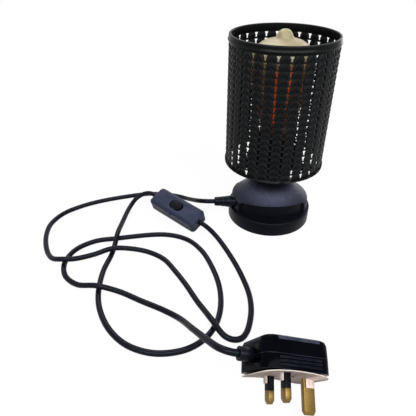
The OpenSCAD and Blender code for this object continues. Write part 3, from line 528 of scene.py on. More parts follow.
# What glossy plastics and paints mirror is faintly blue.
COOL = (215, 222, 255)
# Each finish's third colour lightens its rubbed edges, partly as wear and partly as painted highlight. On the plug
# and the shade it is mainly painted highlight.
FINISHES: tuple[Finish, ...] = (
    ShoulderHighlightFinish(Slot.BASE, (7, 8, 13), (9, 11, 17), (50, 53, 68), (0.36, 0.46), 45, 900, 0.1, 0.3,
                  specular=0.07, sheen=COOL),
    Finish(Slot.SHADE, (8, 9, 10), (11, 12, 13), (58, 61, 65), (0.24, 0.34), 90, 1600, 0.08, 0.3, specular=0.065),
    Finish(Slot.PLATE, (38, 39, 43), (44, 45, 50), (90, 92, 98), (0.4, 0.55), 50, 900, 0.12, specular=0.2),
    Finish(Slot.SCREW, (150, 152, 156), (132, 135, 140), (190, 192, 195), (0.3, 0.45), 200, 2400, 0.1, metallic=1.0),
    Finish(Slot.BRASS, (122, 99, 57), (110, 89, 49), (150, 128, 81), (0.34, 0.48), 150, 2400, 0.08, metallic=1.0),
    Finish(Slot.CREAM, (214, 209, 194), (206, 200, 183), (226, 222, 210), (0.4, 0.55), 80, 1200, 0.06),
    Finish(Slot.BLACK, (8, 9, 13), (10, 11, 16), (44, 46, 54), (0.34, 0.46), 80, 1500, 0.1, 0.3, specular=0.05),
    Finish(Slot.SWITCH, (41, 45, 62), (45, 49, 68), (60, 64, 84), (0.34, 0.46), 70, 1300, 0.06, 0.3,
           specular=0.11, sheen=COOL),
    # The plug's strong light edge colour paints highlight lines along its edges.
    Finish(Slot.PLUG, (3, 4, 8), (5, 6, 11), (116, 121, 146), (0.12, 0.2), 60, 1300, 0.04, 0.8,
           specular=0.012, coat=0.012, sheen=COOL),
    Finish(Slot.FLEX, (8, 9, 14), (11, 12, 18), (34, 36, 43), (0.28, 0.4), 70, 1500, 0.08, 0.2,
           specular=0.12, sheen=COOL),
    Finish(Slot.WIRE, (104, 70, 46), (90, 58, 38), (130, 96, 70), (0.4, 0.5), 150, 1500, 0.06),
    Finish(Slot.PORCELAIN, (234, 229, 218), (228, 222, 208), (242, 238, 230), (0.12, 0.22), 80, 900, 0.04),
    AmberFinish(Slot.AMBER, (214, 208, 178), (203, 196, 164), (214, 208, 178), (0.04, 0.1), 30, 60, 0.004, 0.0,
                specular=0.08, clear=0.72),
    GlassFinish(Slot.STEM, (232, 234, 230), (226, 230, 226), (232, 234, 230), (0.0, 0.04), 60, 300, 0.03, 0.0),
    PaintedGlowFinish(Slot.FILAMENT, (224, 78, 22), (212, 66, 18), (235, 110, 50), (0.4, 0.55), 90, 1500, 0.1),
    Finish(Slot.FUSE, (204, 184, 143), (194, 172, 130), (220, 204, 168), (0.25, 0.4), 90, 1200, 0.06),
    CardFinish(Slot.CARD, (224, 209, 199), (216, 199, 189), (232, 221, 213), (0.6, 0.75), 70, 700, 0.1, 0.3),
)


@dataclass(frozen=True)
class Rounded:
    """A CAD node whose copy gets rounded edges: its names, finish, rounding in millimetres and body."""

    node: str
    name: str
    slot: Slot
    width: float
    steps: int = 2
    angle: float = 32.0
    body: Body = Body.LAMP


class Workshop:
    """Makes, softens and fits pieces, and holds the finished materials."""

    def __init__(self) -> None:
        """Make the shared groups and every finish."""
        effects = SurfaceEffects()
        self.finish = {f.slot: f.material(effects) for f in FINISHES}

    @staticmethod
    def show(name: str, data: Any) -> Piece:
        """Put a mesh, curve, lamp or camera into the scene.

        Args:
            name: the object's name.
            data: what it shows.

        Returns:
            The new object.
        """
        piece = bpy.data.objects.new(name, data)
        bpy.context.scene.collection.objects.link(piece)
        return piece

    @classmethod
    def keep(cls, name: str, shape: bmesh.types.BMesh) -> Piece:
        """Put a working shape into the scene and free it.

        Args:
            name: the piece's name.
            shape: the working shape.

        Returns:
            The new piece.
        """
        mesh = bpy.data.meshes.new(name)
        shape.to_mesh(mesh)
        shape.free()
        return cls.show(name, mesh)

    @staticmethod
    def bevel(piece: Piece, width: float, steps: int, angle: float) -> bpy.types.Modifier:
        """Add a rounding.

        Args:
            piece: the piece.
            width: the rounding, in millimetres.
            steps: facets across it.
            angle: edges sharper than this many degrees are rounded.

        Returns:
            The modifier.
        """
        made = piece.modifiers.new("rounding", "BEVEL")
        made.width, made.segments = width * MM, steps
        made.limit_method, made.angle_limit = "ANGLE", math.radians(angle)
        return made

    @staticmethod
    def wear_and_glint(face: bmesh.types.BMFace) -> float:
        """Tell how much a face gets rubbed wear and painted highlight: narrow faces along sharp edges do.

        Args:
            face: the face.

        Returns:
            A share from 0 to 1.
        """
        longest = max(e.calc_length() for e in face.edges)
        if face.calc_area() >= SLIM * longest:
            return 0.0
        sides = [e for e in face.edges if e.calc_length() > LONG_SIDE * longest and len(e.link_faces) == 2]
        turn = max([0.0, *(e.calc_face_angle_signed(0.0) for e in sides)])
        return min(1.0, max(0.0, turn - TURN_FROM) / TURN_SPAN)

    @classmethod
    def settle(cls, piece: Piece, angle: float) -> Piece:
        """Bake the modifiers, smooth the faces and mark edges and slopes.

        Args:
            piece: the object with its modifiers.
            angle: edges sharper than this many degrees stay sharp.

        Returns:
            The same piece.
        """
        bpy.context.view_layer.update()
        ready = piece.evaluated_get(bpy.context.evaluated_depsgraph_get())
        mesh = bpy.data.meshes.new_from_object(ready)
        piece.modifiers.clear()
        piece.data = mesh
        mesh.polygons.foreach_set("use_smooth", [True] * len(mesh.polygons))
        mesh.set_sharp_from_angle(angle=math.radians(angle))
        shape = bmesh.new()
        shape.from_mesh(mesh)
        # The edge marks steer the rubbed edges and their painted highlights. The slope marks steer the base
        # shoulder's painted highlight.
        marks = {"edge": [cls.wear_and_glint(f) for f in shape.faces], "slope": [p.normal.z for p in mesh.polygons]}
        shape.free()
        for name, values in marks.items():
            mesh.attributes.new(name, "FLOAT", "FACE").data.foreach_set("value", values)
        return piece

    def soften(self, plan: Rounded) -> Piece:
        """Copy a CAD node with rounded edges and fit the copy in its place.

        Args:
            plan: the node and its rounding.

        Returns:
            The new piece.
        """
        shape = bmesh.new()
        shape.from_mesh(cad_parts[plan.node].data)
        bmesh.ops.remove_doubles(shape, verts=shape.verts, dist=SAME_POINT)
        bmesh.ops.dissolve_limit(shape, angle_limit=math.radians(FLAT), verts=shape.verts, edges=shape.edges)
        piece = self.keep(plan.name, shape)
        self.bevel(piece, plan.width, plan.steps, plan.angle).miter_outer = "MITER_ARC"
        return self.fit(self.settle(piece, CREASE), plan.body, plan.slot, plan.node)

    def lathe(self, name: str, profile: Profile, steps: int) -> Piece:
        """Turn a closed outline round the Z axis.

        Args:
            name: the piece's name.
            profile: closed outline as radius and height, in millimetres.
            steps: facets round the axis.

        Returns:
            The new piece.
        """
        shape = bmesh.new()
        turn = [2 * math.pi * k / steps for k in range(steps)]
        rings: list[list[bmesh.types.BMVert]] = []
        for r, z in profile:
            if r < NOTHING:
                rings.append([shape.verts.new((0, 0, z * MM))] * steps)
                continue
            rings.append([shape.verts.new((r * MM * math.cos(a), r * MM * math.sin(a), z * MM)) for a in turn])
        for i, ring in enumerate(rings):
            following = rings[(i + 1) % len(rings)]
            for k in range(steps):
                corners = [ring[k], ring[(k + 1) % steps], following[(k + 1) % steps], following[k]]
                unique = list(dict.fromkeys(corners))
                if len(unique) > 2:
                    shape.faces.new(unique)
        bmesh.ops.recalc_face_normals(shape, faces=shape.faces)
        return self.settle(self.keep(name, shape), CREASE)

    def grow(self, name: str, tree: Tree, values: dict[str, Any], angle: float) -> Piece:
        """Run a geometry tree and keep its mesh.

        Args:
            name: the piece's name.
            tree: the geometry tree.
            values: its inputs by name.
            angle: edges sharper than this many degrees stay sharp.

        Returns:
            The new piece.
        """
        piece = self.show(name, bpy.data.meshes.new(name))
        modifier = piece.modifiers.new("grow", "NODES")
        modifier.node_group = tree
        for item in tree.interface.items_tree:
            if item.item_type == "SOCKET" and item.in_out == "INPUT" and item.name in values:
                modifier[item.identifier] = values[item.name]
        return self.settle(piece, angle)

    def fit(self, piece: Piece, body: Body, slot: Slot, *nodes: str) -> Piece:
        """Give a piece its finish, body and CAD nodes.

        Args:
            piece: the piece.
            body: the body that it rides on.
            slot: its finish.
            nodes: CAD nodes that it stands for.

        Returns:
            The same piece.
        """
        piece.data.materials.clear()
        piece.data.materials.append(self.finish[slot])
        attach(piece, body.value)
        if nodes:
            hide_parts(*nodes)
        log.info("fitted %s on %s", piece.name, body.value)
        return piece

    def dress(self, slot: Slot, *nodes: str) -> list[Piece]:
        """Give CAD nodes that keep their shape a finish.

        Args:
            slot: the finish.
            nodes: the CAD nodes.

        Returns:
            Their objects.
        """
        dressed = [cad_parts[n] for n in nodes]
        for node in dressed:
            node.data.materials.clear()
            node.data.materials.append(self.finish[slot])
            log.info("dressed %s", node.name)
        return dressed


def smooth_line(points: list[Vector], step: float) -> list[Vector]:
    """Draw an even curve through points that are unevenly spaced.

    Args:
        points: the points, in order.
        step: largest distance between two points of the result.

    Returns:
        The curve's points, ends included.
    """
    full = [2 * points[0] - points[1], *points, 2 * points[-1] - points[-2]]
    line: list[Vector] = []
    for a, b, c, d in zip(full, full[1:], full[2:], full[3:]):
        t1 = (b - a).length ** 0.5
        t2 = t1 + (c - b).length ** 0.5
        t3 = t2 + (d - c).length ** 0.5
        count = max(2, math.ceil((c - b).length / step))
        for k in range(count):
            t = t1 + (t2 - t1) * k / count
            ab = a.lerp(b, t / t1)
            bc = b.lerp(c, (t - t1) / (t2 - t1))
            cd = c.lerp(d, (t - t2) / (t3 - t2))
            first = ab.lerp(bc, t / t2)
            second = bc.lerp(cd, (t - t1) / (t3 - t1))
            line.append(first.lerp(second, (t - t1) / (t2 - t1)))
    return [*line, points[-1]]


@dataclass(frozen=True)
class SoftLamp:
    """One soft lamp: its place, the point that it faces, its width and height, and its watts."""

    name: str
    at: Point
    aim: Point
    size: Pair
    power: float

    def build(self) -> None:
        """Hang the lamp."""
        data = bpy.data.lights.new(self.name, "AREA")
        data.shape = "RECTANGLE"
        (data.size, data.size_y), data.energy = self.size, self.power
        made = Workshop.show(self.name, data)
        made.location = self.at
        made.rotation_euler = (Vector(self.aim) - Vector(self.at)).to_track_quat("-Z", "Y").to_euler()


@dataclass
class Stage:
    """Camera, soft light and a plain white floor."""

    eye: Point = (-0.0673, -0.3815, 0.26605)
    pitch: float = 55.65
    lens: float = 35.54
    sensor: float = 36.0
    near: float = 0.01
    sky: float = 0.12
    share: float = 0.94
    blend: Pair = (0.3, 0.8)
    far: float = 6.0
    tones: Pair = (0.09, 0.93)
    lamps: tuple[SoftLamp, ...] = (
        SoftLamp("front strip", (0.05, -0.7, 0.88), (0.0, 0.0, 0.05), (1.8, 0.4), 19.0),
        SoftLamp("back box", (-0.2, 0.6, 0.95), (-0.05, -0.05, 0.05), (0.5, 0.5), 5.0),
        SoftLamp("back strip", (0.65, 0.95, 0.25), (0.0, 0.0, 0.1), (0.5, 0.5), 3.0))

    def camera(self) -> None:
        """Set the camera at the photograph's angle."""
        data = bpy.data.cameras.new("camera")
        data.lens, data.sensor_width, data.clip_start = self.lens, self.sensor, self.near
        made = Workshop.show("camera", data)
        made.location = self.eye
        made.rotation_euler = (math.radians(self.pitch), 0.0, 0.0)
        bpy.context.scene.camera = made

    @staticmethod
    def seen(w: TreeWriter) -> Socket:
        """Tell where the eye looks, also through glass and by reflection.

        Args:
            w: writer for the tree.

        Returns:
            A mask that is 1 for those rays.
        """
        path = w.put("ShaderNodeLightPath").outputs
        through = w.sum("MAXIMUM", path["Is Camera Ray"], path["Is Transmission Ray"])
        return w.sum("MAXIMUM", through, path["Is Glossy Ray"])

    def world(self) -> None:
        """Make the white surroundings."""
        made = bpy.data.worlds.new("studio")
        w = TreeWriter.fresh(made)
        level = w.ramp(self.seen(w), 0.0, 1.0, self.sky, 1.0)
        white = w.put("ShaderNodeBackground", {"Color": WHITE, "Strength": level})
        w.put("ShaderNodeOutputWorld", {"Surface": white.outputs[0]})
        bpy.context.scene.world = made

    def floor(self) -> None:
        """Lay the pale floor, which keeps a light shadow."""
        mesh = bpy.data.meshes.new("floor")
        far = self.far
        mesh.from_pydata([(-far, -far, 0), (far, -far, 0), (far, far, 0), (-far, far, 0)], [], [(0, 1, 2, 3)])
        made = bpy.data.materials.new("floor white")
        w = TreeWriter.fresh(made)
        dark, pale = [(tone, tone, tone, 1.0) for tone in self.tones]
        paint = w.put("ShaderNodeBsdfDiffuse", {"Color": w.mix(self.seen(w), dark, pale)})
        light = w.put("ShaderNodeEmission", {"Color": WHITE, "Strength": 1.0})
        reach = w.put("ShaderNodeVectorMath", {0: w.place()}, operation="LENGTH").outputs["Value"]
        share = w.times(self.seen(w), w.ramp(reach, *self.blend, self.share, 1.0))
        both = w.put("ShaderNodeMixShader", {0: share, 1: paint.outputs[0], 2: light.outputs[0]})
        w.put("ShaderNodeOutputMaterial", {"Surface": both.outputs[0]})
        mesh.materials.append(made)
        Workshop.show("floor", mesh)

    def build(self) -> None:
        """Set up everything round the lamp."""
        bpy.context.scene.view_settings.view_transform = "Standard"
        self.camera()
        self.world()
        self.floor()
        for lamp in self.lamps:
            lamp.build()
        log.info("stage ready")


@dataclass
class Flex:
    """The two stretches of round flex, base to switch and switch to plug."""

    radius: float = 2.5
    step: float = 1.5
    facets: int = 4
    to_switch: list[Point] = field(default_factory=lambda: [
        (-60, -10, 21), (-68, -9.6, 20.8), (-76, -5.5, 18.6), (-83, 4, 13.5), (-91, 16, 7.5), (-101, 26, 4),
        (-117, 32.5, 2.8), (-137, 34, 2.6), (-155, 30.5, 2.6), (-190, 19, 2.6), (-211, 8, 2.6), (-228, -7, 2.6),
        (-236, -26, 2.6), (-235, -45, 2.6), (-230, -62, 2.6), (-223, -76, 3), (-215, -85.5, 5.4),
        (-204.5, -89.8, 8.5), (-193, -88, 7.4), (-177, -81.5, 7), (-160, -74.5, 8.7), (-143, -71, 5.5),
        (-126, -73, 3), (-110, -83, 2.6), (-98, -99.5, 2.6), (-87, -117.5, 2.6), (-76.5, -137.5, 3),
        (-70.5, -149, 5), (-65, -160.5, 8), (-61.5, -167, 8.6), (-58.5, -172, 7.9), (-54.5, -176, 6.3),
        (-49.5, -177.8, 4.7), (-44.2, -177.1, 3.4), (-40.2, -174.6, 2.8), (-37.2, -170.2, 2.6), (-35, -165, 2.6),
        (-31.8, -151, 2.6), (-31, -139, 2.6), (-32, -126, 2.6), (-38, -101, 2.8), (-48, -74, 4), (-60, -52, 7.5),
        (-70.2, -40.7, 10.9), (-81, -32, 12.4)])
    to_plug: list[Point] = field(default_factory=lambda: [
        (-119.6, -0.7, 17.6), (-131.2, 8.7, 19.2), (-140, 12, 16.5), (-148, 9.5, 12.5), (-154, -1, 8.5),
        (-158.5, -30, 6.8), (-159.5, -50, 8.4), (-160, -62, 5.4), (-161, -75, 3), (-164.5, -101, 2.7),
        (-162.5, -130, 2.6), (-156, -150, 2.6), (-144, -169, 2.6), (-128, -182.5, 2.6), (-107, -189, 2.6),
        (-85, -186, 2.6), (-71, -177, 2.6), (-62, -164, 2.6), (-57, -146, 2.6), (-57, -122, 2.6), (-63, -96, 2.6),
        (-74, -70, 2.6), (-89, -53, 2.6), (-112, -45, 2.6), (-162, -51.5, 2.6), (-182, -56, 2.6), (-198, -69, 2.6),
        (-203.5, -88, 2.6), (-198, -106, 2.6), (-184, -118, 3.5), (-164, -124.5, 8.4), (-145, -127, 4),
        (-124, -137, 2.7), (-105, -147, 3.1), (-91, -158.5, 6.5), (-78.5, -181, 20.5), (-68, -200, 32.5),
        (-62.8, -208.8, 38.1), (-60.3, -211.9, 39.9), (-56.8, -214.3, 40.8), (-52.7, -215.7, 40.7),
        (-48.4, -215.9, 39.7), (-32, -214.3, 34)])

    def lay(self, shop: Workshop, name: str, route: list[Point], node: str) -> tuple[Piece, float]:
        """Lay one stretch along its route.

        Args:
            shop: the workshop.
            name: the piece's name.
            route: the route's points, in millimetres.
            node: the CAD node that it stands for.

        Returns:
            The flex and its length in metres.
        """
        line = smooth_line([Vector(p) * MM for p in route], self.step * MM)
        data = bpy.data.curves.new(name, "CURVE")
        data.dimensions = "3D"
        data.bevel_depth = self.radius * MM
        data.bevel_resolution = self.facets
        data.use_fill_caps = True
        spline = data.splines.new("POLY")
        spline.points.add(len(line) - 1)
        for point, place in zip(spline.points, line):
            point.co = (*place, 1.0)
        piece = shop.fit(shop.show(name, data), Body.LAMP, Slot.FLEX, node)
        return piece, sum((b - a).length for a, b in zip(line, line[1:]))

    def build(self, shop: Workshop, on_first: list[Piece], on_second: list[Piece]) -> None:
        """Args:
            shop: the workshop.
            on_first: pieces on the first stretch; not used.
            on_second: pieces on the second stretch; not used.
        """
        first, long = self.lay(shop, "flex_to_switch", self.to_switch, "cord_to_switch")
        second, longer = self.lay(shop, "flex_to_plug", self.to_plug, "cord_to_plug")
        log.info("flex lengths %.3f and %.3f", long, longer)


@dataclass
class Base:
    """Flared base with its recesses, plate, terminals and strain relief."""

    rounded: tuple[Rounded, ...] = (
        Rounded("base_cover", "base_shell", Slot.BASE, 0.55, 3),
        Rounded("base_plate", "base_floor_plate", Slot.PLATE, 0.25))
    relief: Profile = field(default_factory=lambda: [
        (2.4, -8), (2.4, 22.4), (4.1, 22.4), (4.5, 22), (4.7, 21.3), (5.1, 16.8), (4.9, 16.5), (4.9, 16),
        (5.15, 15.7), (5.6, 12.2), (5.4, 11.9), (5.4, 11.4), (5.65, 11.1), (6.3, 6.6), (6.5, 4.6), (6.4, 4.1),
        (6, 3.8), (5.6, 0), (5, 0), (5, -8)])
    relief_at: Point = (-38.0, -10.0, 21.0)
    relief_steps: int = 48

    def build(self, shop: Workshop) -> list[Piece]:
        """Build and dress the base.

        Args:
            shop: the workshop.

        Returns:
            The strain relief, which sits on the flex.
        """
        for plan in self.rounded:
            shop.soften(plan)
        relief = shop.lathe("flex_strain_relief", self.relief, self.relief_steps)
        turned = Matrix.Rotation(math.radians(-90), 4, "Y")
        relief.data.transform(Matrix.Translation(Vector(self.relief_at) * MM) @ turned)
        shop.fit(relief, Body.LAMP, Slot.FLEX, "strain_relief")
        shop.dress(Slot.SCREW, "base_screws", "clamp_screws", "terminal_screws")
        shop.dress(Slot.CREAM, "terminal_block", "cord_clamp")
        shop.dress(Slot.BRASS, "terminal_tubes")
        shop.dress(Slot.FLEX, "flex_tail")
        shop.dress(Slot.WIRE, "core_wires")
        return [relief]


@dataclass
class Lampholder:
    """Screw lampholder that stands in the base's neck."""

    body: Rounded = Rounded("holder_body", "lampholder_body", Slot.BLACK, 0.6, 3)

    def build(self, shop: Workshop) -> None:
        """Build and dress the lampholder.

        Args:
            shop: the workshop.
        """
        shop.soften(self.body)
        shop.dress(Slot.SCREW, "holder_screws")
        shop.dress(Slot.PORCELAIN, "socket_insulator")
        shop.dress(Slot.BRASS, "screw_shell", "centre_contact")


@dataclass(frozen=True)
class Course:
    """One kind of bead in the knit: half sizes, facets, height over the first row, and its share of a column."""

    name: str
    bead: Point
    facets: tuple[int, int]
    top: float
    sides: int = 1
    shift: float = 0.0


@dataclass
class Shade:
    """Openwork cylinder with a knitted look between two rims."""

    columns: int = 28
    rows: int = 19
    pitch: float = 6.0
    first: float = 182.5
    lift: float = 0.6
    phase: float = 12.0
    hole: tuple[float, float, float, float] = (3.6, 1.5, 1.6, 4.2)
    knee: float = 0.55
    outer: float = 48.6
    sheet_t: float = 0.8
    sheet_edge: float = 0.18
    sheet_angle: float = 30.0
    ends: Pair = (187.0, 68.0)
    middle: float = 48.3
    spread: float = 3.1
    lean: float = 31.0
    courses: tuple[Course, ...] = (
        Course("shade_knit", (0.85, 1.0, 3.6), (10, 6), 0.6, sides=2),
        Course("shade_knots", (0.9, 0.7, 0.7), (6, 4), -1.5, shift=0.5),
        Course("shade_rungs", (0.8, 2.1, 0.7), (8, 6), -2.3))
    rim: Profile = field(default_factory=lambda: [
        (46.8, 184.7), (49.5, 184.7), (49.95, 184.95), (50.1, 185.4), (49.95, 185.75), (49.4, 186.75),
        (49.25, 187.1), (49.25, 189.0), (49.1, 189.6), (48.7, 189.95), (48.2, 190.0), (47.5, 190.0), (47.0, 189.8),
        (46.8, 189.3)])
    rim_steps: int = 160
    rounded: tuple[Rounded, ...] = (
        Rounded("shade_carrier", "shade_foot_ring", Slot.SHADE, 0.35),
        Rounded("shade_ring", "shade_ring_nut", Slot.BLACK, 0.5))

    def tree(self) -> Tree:
        """Build the tree that sets beads in courses round a cylinder.

        Returns:
            The geometry tree.
        """
        kinds = {n: WHOLE for n in ("Columns", "Rows", "Sides", "Round", "Along")}
        kinds |= {n: NUMBER for n in ("Radius", "Pitch", "Top", "Phase", "Spread", "Lean")}
        kinds |= {"Bead": VECTOR, "Finish": FINISH}
        w, get, out = TreeWriter.group("knitted courses", "GeometryNodeTree", kinds, {"Geometry": SHAPE})
        strip = w.times(get["Rows"], get["Sides"])
        index = w.put("GeometryNodeInputIndex").outputs[0]
        column = w.sum("FLOOR", w.sum("DIVIDE", index, strip))
        rest = w.sum("MODULO", index, strip)
        row = w.sum("FLOOR", w.sum("DIVIDE", rest, get["Sides"]))
        half = w.sum("SUBTRACT", get["Sides"], 1.0)
        side = w.sum("SUBTRACT", w.times(w.sum("MODULO", rest, get["Sides"]), 2.0), half)
        step = w.sum("DIVIDE", 2 * math.pi, get["Columns"])
        offset = w.times(side, w.sum("DIVIDE", get["Spread"], get["Radius"]))
        turn = w.sum("ADD", w.sum("MULTIPLY_ADD", column, step, get["Phase"]), offset)
        down = w.times(w.sum("ADD", row, 0.5), get["Pitch"])
        place = w.ring(get["Radius"], turn, w.sum("SUBTRACT", get["Top"], down))
        spin = w.vector(x=w.times(side, get["Lean"], -1.0), z=turn)
        wanted = {"Radius": 1.0, "Segments": get["Round"], "Rings": get["Along"]}
        ball = w.put("GeometryNodeMeshUVSphere", wanted).outputs[0]
        bead = w.put("GeometryNodeTransform", {"Geometry": ball, "Scale": get["Bead"]}).outputs[0]
        w.link(w.cast(w.times(strip, get["Columns"]), place, spin, bead, get["Finish"]), out[0])
        return w.tree

    def sheet(self, shop: Workshop) -> Piece:
        """Build the thin wall with its rows of openings.

        Args:
            shop: the workshop.

        Returns:
            The new piece.
        """
        shape, r = bmesh.new(), self.outer * MM
        wide, waist, foot, high = self.hole
        half = math.pi * self.outer / self.columns
        marks = (-half, -wide / 2, -foot / 2, foot / 2, wide / 2, half)
        tops = [self.first + self.lift - k * self.pitch for k in range(self.rows + 1)]

        def face(turn: float, *corners: Pair) -> None:
            """Add one face from arc lengths and heights."""
            places = [(turn + s / self.outer, z * MM) for s, z in corners]
            shape.faces.new([shape.verts.new((r * math.cos(a), r * math.sin(a), z)) for a, z in places])

        for c in range(self.columns):
            turn = math.radians(self.phase) + c * math.tau / self.columns
            for upper, lower in ((self.ends[0], tops[0]), (tops[-1], self.ends[1])):
                for a, b in zip(marks, marks[1:]):
                    face(turn, (a, upper), (a, lower), (b, lower), (b, upper))
            for top in tops[:-1]:
                head = top - (self.pitch - high) / 2
                mid, low, end = head - self.knee * high, head - high, top - self.pitch
                inner = [(s, top) for s in reversed(marks[1:5])]
                face(turn, (-wide / 2, head), (wide / 2, head), *inner)
                face(turn, (-foot / 2, end), (foot / 2, end), (foot / 2, low), (-foot / 2, low))
                for side in (-1, 1):
                    parts = [[(half, top), (wide / 2, top), (wide / 2, head), (half, head)],
                             [(half, head), (wide / 2, head), (waist / 2, mid), (half, mid)],
                             [(half, mid), (waist / 2, mid), (foot / 2, low), (half, low)],
                             [(half, low), (foot / 2, low), (foot / 2, end), (wide / 2, end), (half, end)]]
                    for part in parts:
                        face(turn, *[(side * s, z) for s, z in (part if side > 0 else reversed(part))])
        bmesh.ops.remove_doubles(shape, verts=shape.verts, dist=NOTHING)
        piece = shop.keep("shade_sheet", shape)
        thick = piece.modifiers.new("thickness", "SOLIDIFY")
        thick.thickness, thick.offset = self.sheet_t * MM, -1.0
        shop.bevel(piece, self.sheet_edge, 1, self.sheet_angle)
        return shop.settle(piece, SHEET_CREASE)

    def build(self, shop: Workshop) -> None:
        """Build the wall's knit and the rims.

        Args:
            shop: the workshop.
        """
        shop.fit(self.sheet(shop), Body.LAMP, Slot.SHADE, "shade_wall")
        tree = self.tree()
        for course in self.courses:
            values = {
                "Columns": self.columns, "Rows": self.rows, "Sides": course.sides, "Round": course.facets[0],
                "Along": course.facets[1], "Radius": self.middle * MM, "Pitch": self.pitch * MM,
                "Top": (self.first + course.top) * MM, "Spread": self.spread * MM, "Lean": math.radians(self.lean),
                "Phase": math.radians(self.phase + course.shift * 360 / self.columns),
                "Bead": [s * MM for s in course.bead], "Finish": shop.finish[Slot.SHADE],
            }
            shop.fit(shop.grow(course.name, tree, values, BEAD_CREASE), Body.LAMP, Slot.SHADE)
        rim = shop.lathe("shade_rim_band", self.rim, self.rim_steps)
        shop.fit(rim, Body.LAMP, Slot.SHADE, "shade_top_rim")
        for plan in self.rounded:
            shop.soften(plan)


@dataclass
class Bulb:
    """Long amber bulb with four straight filaments."""

    wall: float = 0.8
    foot: float = 76.0
    shape: Profile = field(default_factory=lambda: [
        (11.6, 0), (11.6, 10), (13.5, 22), (18.5, 39), (24.5, 59), (29, 77), (30, 86), (28.8, 94.4), (26.4, 99.8),
        (22.4, 104.2), (17.5, 107.3), (12.5, 108.9), (9.2, 109.9), (7.6, 111.4), (6.7, 113.4), (5.2, 115.6),
        (2.8, 117.2), (0, 117.7)])
    step: float = 1.6
    steps: int = 128
    least_outer: float = 0.02
    least_inner: float = 0.3
    filaments: int = 4
    filament_r: float = 1.0
    filament_foot: Pair = (6.0, 107.6)
    filament_len: float = 56.0
    filament_lean: float = 5.1
    filament_turn: float = 56.0
    cap: Rounded = Rounded("bulb_cap", "bulb_screw_cap", Slot.BRASS, 0.2, 2, 20.0, Body.BULB)

    def glass(self) -> Profile:
        """Draw the glass wall's closed outline.

        Returns:
            Outer and inner outline as radius and height.
        """
        line = smooth_line([Vector((r, z, 0)) for r, z in self.shape], self.step)
        outer: Profile = []
        inner: Profile = []
        for i, p in enumerate(line):
            along = (line[min(i + 1, len(line) - 1)] - line[max(i - 1, 0)]).normalized()
            last = i == len(line) - 1
            outer.append((0.0 if last else max(p.x, self.least_outer), p.y + self.foot))
            r = p.x - self.wall * along.y
            if last:
                inner.append((0.0, p.y - self.wall + self.foot))
            elif r > self.least_inner:
                inner.append((r, p.y + self.wall * along.x + self.foot))
        return [*outer, *reversed(inner)]

    def tree(self) -> Tree:
        """Build the tree that stands the filaments in a ring.

        Returns:
            The geometry tree.
        """
        numbers = ("Foot Radius", "Foot Height", "Lean", "Length", "Thickness", "Phase")
        kinds = {"Count": WHOLE, **{n: NUMBER for n in numbers}, "Finish": FINISH}
        w, get, out = TreeWriter.group("filament cage", "GeometryNodeTree", kinds, {"Geometry": SHAPE})
        index = w.put("GeometryNodeInputIndex").outputs[0]
        step = w.sum("DIVIDE", 2 * math.pi, get["Count"])
        turn = w.sum("MULTIPLY_ADD", index, step, get["Phase"])
        place = w.ring(get["Foot Radius"], turn, get["Foot Height"])
        ball = w.put("GeometryNodeMeshUVSphere", {"Radius": 1.0, "Segments": 16, "Rings": 12}).outputs[0]
        axis, thick = w.axes(w.put("GeometryNodeInputPosition").outputs[0]), get["Thickness"]
        stretch = w.sum("SUBTRACT", w.times(get["Length"], 0.5), thick)
        up = w.sum("MULTIPLY_ADD", w.sum("SIGN", axis["Z"]), stretch, w.times(axis["Z"], thick))
        high = w.sum("MULTIPLY_ADD", get["Length"], 0.5, up)
        pill = w.vector(w.times(axis["X"], thick), w.times(axis["Y"], thick), high)
        rod = w.put("GeometryNodeSetPosition", {"Geometry": ball, "Position": pill}).outputs[0]
        w.link(w.cast(get["Count"], place, w.vector(y=get["Lean"], z=turn), rod, get["Finish"]), out[0])
        return w.tree

    def build(self, shop: Workshop) -> None:
        """Build the bulb on its own body.

        Args:
            shop: the workshop.
        """
        glass = shop.lathe("bulb_envelope", self.glass(), self.steps)
        shop.fit(glass, Body.BULB, Slot.AMBER, "bulb_glass")
        radius, height = self.filament_foot
        values = {
            "Count": self.filaments, "Foot Radius": radius * MM, "Foot Height": height * MM,
            "Lean": math.radians(self.filament_lean), "Length": self.filament_len * MM,
            "Thickness": self.filament_r * MM, "Phase": math.radians(self.filament_turn),
            "Finish": shop.finish[Slot.FILAMENT],
        }
        rods = shop.grow("bulb_filament_rods", self.tree(), values, SHEET_CREASE)
        shop.fit(rods, Body.BULB, Slot.FILAMENT, "filaments")
        shop.soften(self.cap)
        shop.dress(Slot.BLACK, "cap_insulator")
        shop.dress(Slot.SCREW, "cap_contact", "filament_wires")
        shop.dress(Slot.STEM, "bulb_stem")


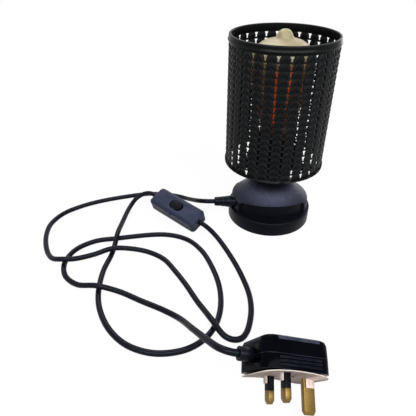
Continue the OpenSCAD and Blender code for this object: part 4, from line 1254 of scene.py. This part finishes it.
@dataclass
class InlineSwitch:
    """In-line rocker switch on the flex."""

    rounded: tuple[Rounded, ...] = (
        Rounded("switch_lower_shell", "switch_underside", Slot.SWITCH, 0.4),
        Rounded("switch_upper_shell", "switch_top", Slot.SWITCH, 0.6, 3, 20.0),
        Rounded("switch_rocker", "switch_rocker_cap", Slot.BLACK, 0.5, 3, body=Body.ROCKER))

    def build(self, shop: Workshop) -> list[Piece]:
        """Build and dress the switch.

        Args:
            shop: the workshop.

        Returns:
            The pieces that sit on the flex.
        """
        on = [shop.soften(plan) for plan in self.rounded]
        on += shop.dress(Slot.BRASS, "switch_terminals", "neutral_link", "moving_contact")
        return on + shop.dress(Slot.SCREW, "switch_terminal_screws", "switch_screws")


@dataclass
class Plug:
    """Three-pin fused plug with its wiring card."""

    rounded: tuple[Rounded, ...] = (
        Rounded("plug_base", "plug_pin_side", Slot.PLUG, 0.4, 3),
        Rounded("plug_cover", "plug_back", Slot.PLUG, 0.8, 3),
        *(Rounded(f"{n}_pin", f"{n}_pin_turned", Slot.BRASS, 0.35, 2, 25.0) for n in ("neutral", "line", "earth")),
        Rounded("pin_sleeves", "pin_sleeves_moulded", Slot.BLACK, 0.2),
        Rounded("plug_cord_sleeve", "plug_cord_boss", Slot.FLEX, 0.6, 3),
        Rounded("wiring_card", "plug_wiring_card", Slot.CARD, 0.1, 1))

    def build(self, shop: Workshop) -> list[Piece]:
        """Build and dress the plug.

        Args:
            shop: the workshop.

        Returns:
            The pieces on the flex's end.
        """
        on = [shop.soften(plan) for plan in self.rounded]
        on += shop.dress(Slot.SCREW, "plug_terminal_screws", "grip_screws", "cover_screw")
        on += shop.dress(Slot.FUSE, "fuse")
        on += shop.dress(Slot.BRASS, "fuse_clips")
        return on + shop.dress(Slot.CREAM, "cord_grip")


def main() -> None:
    """Build every sub-assembly in order."""
    logging.basicConfig(level=logging.INFO, format="%(name)s: %(message)s")
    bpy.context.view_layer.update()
    Stage().build()
    shop = Workshop()
    relief = Base().build(shop)
    Lampholder().build(shop)
    Shade().build(shop)
    Bulb().build(shop)
    switch = InlineSwitch().build(shop)
    plug = Plug().build(shop)
    Flex().build(shop, [*relief, *switch], plug)


if __name__ == "__main__":
    main()
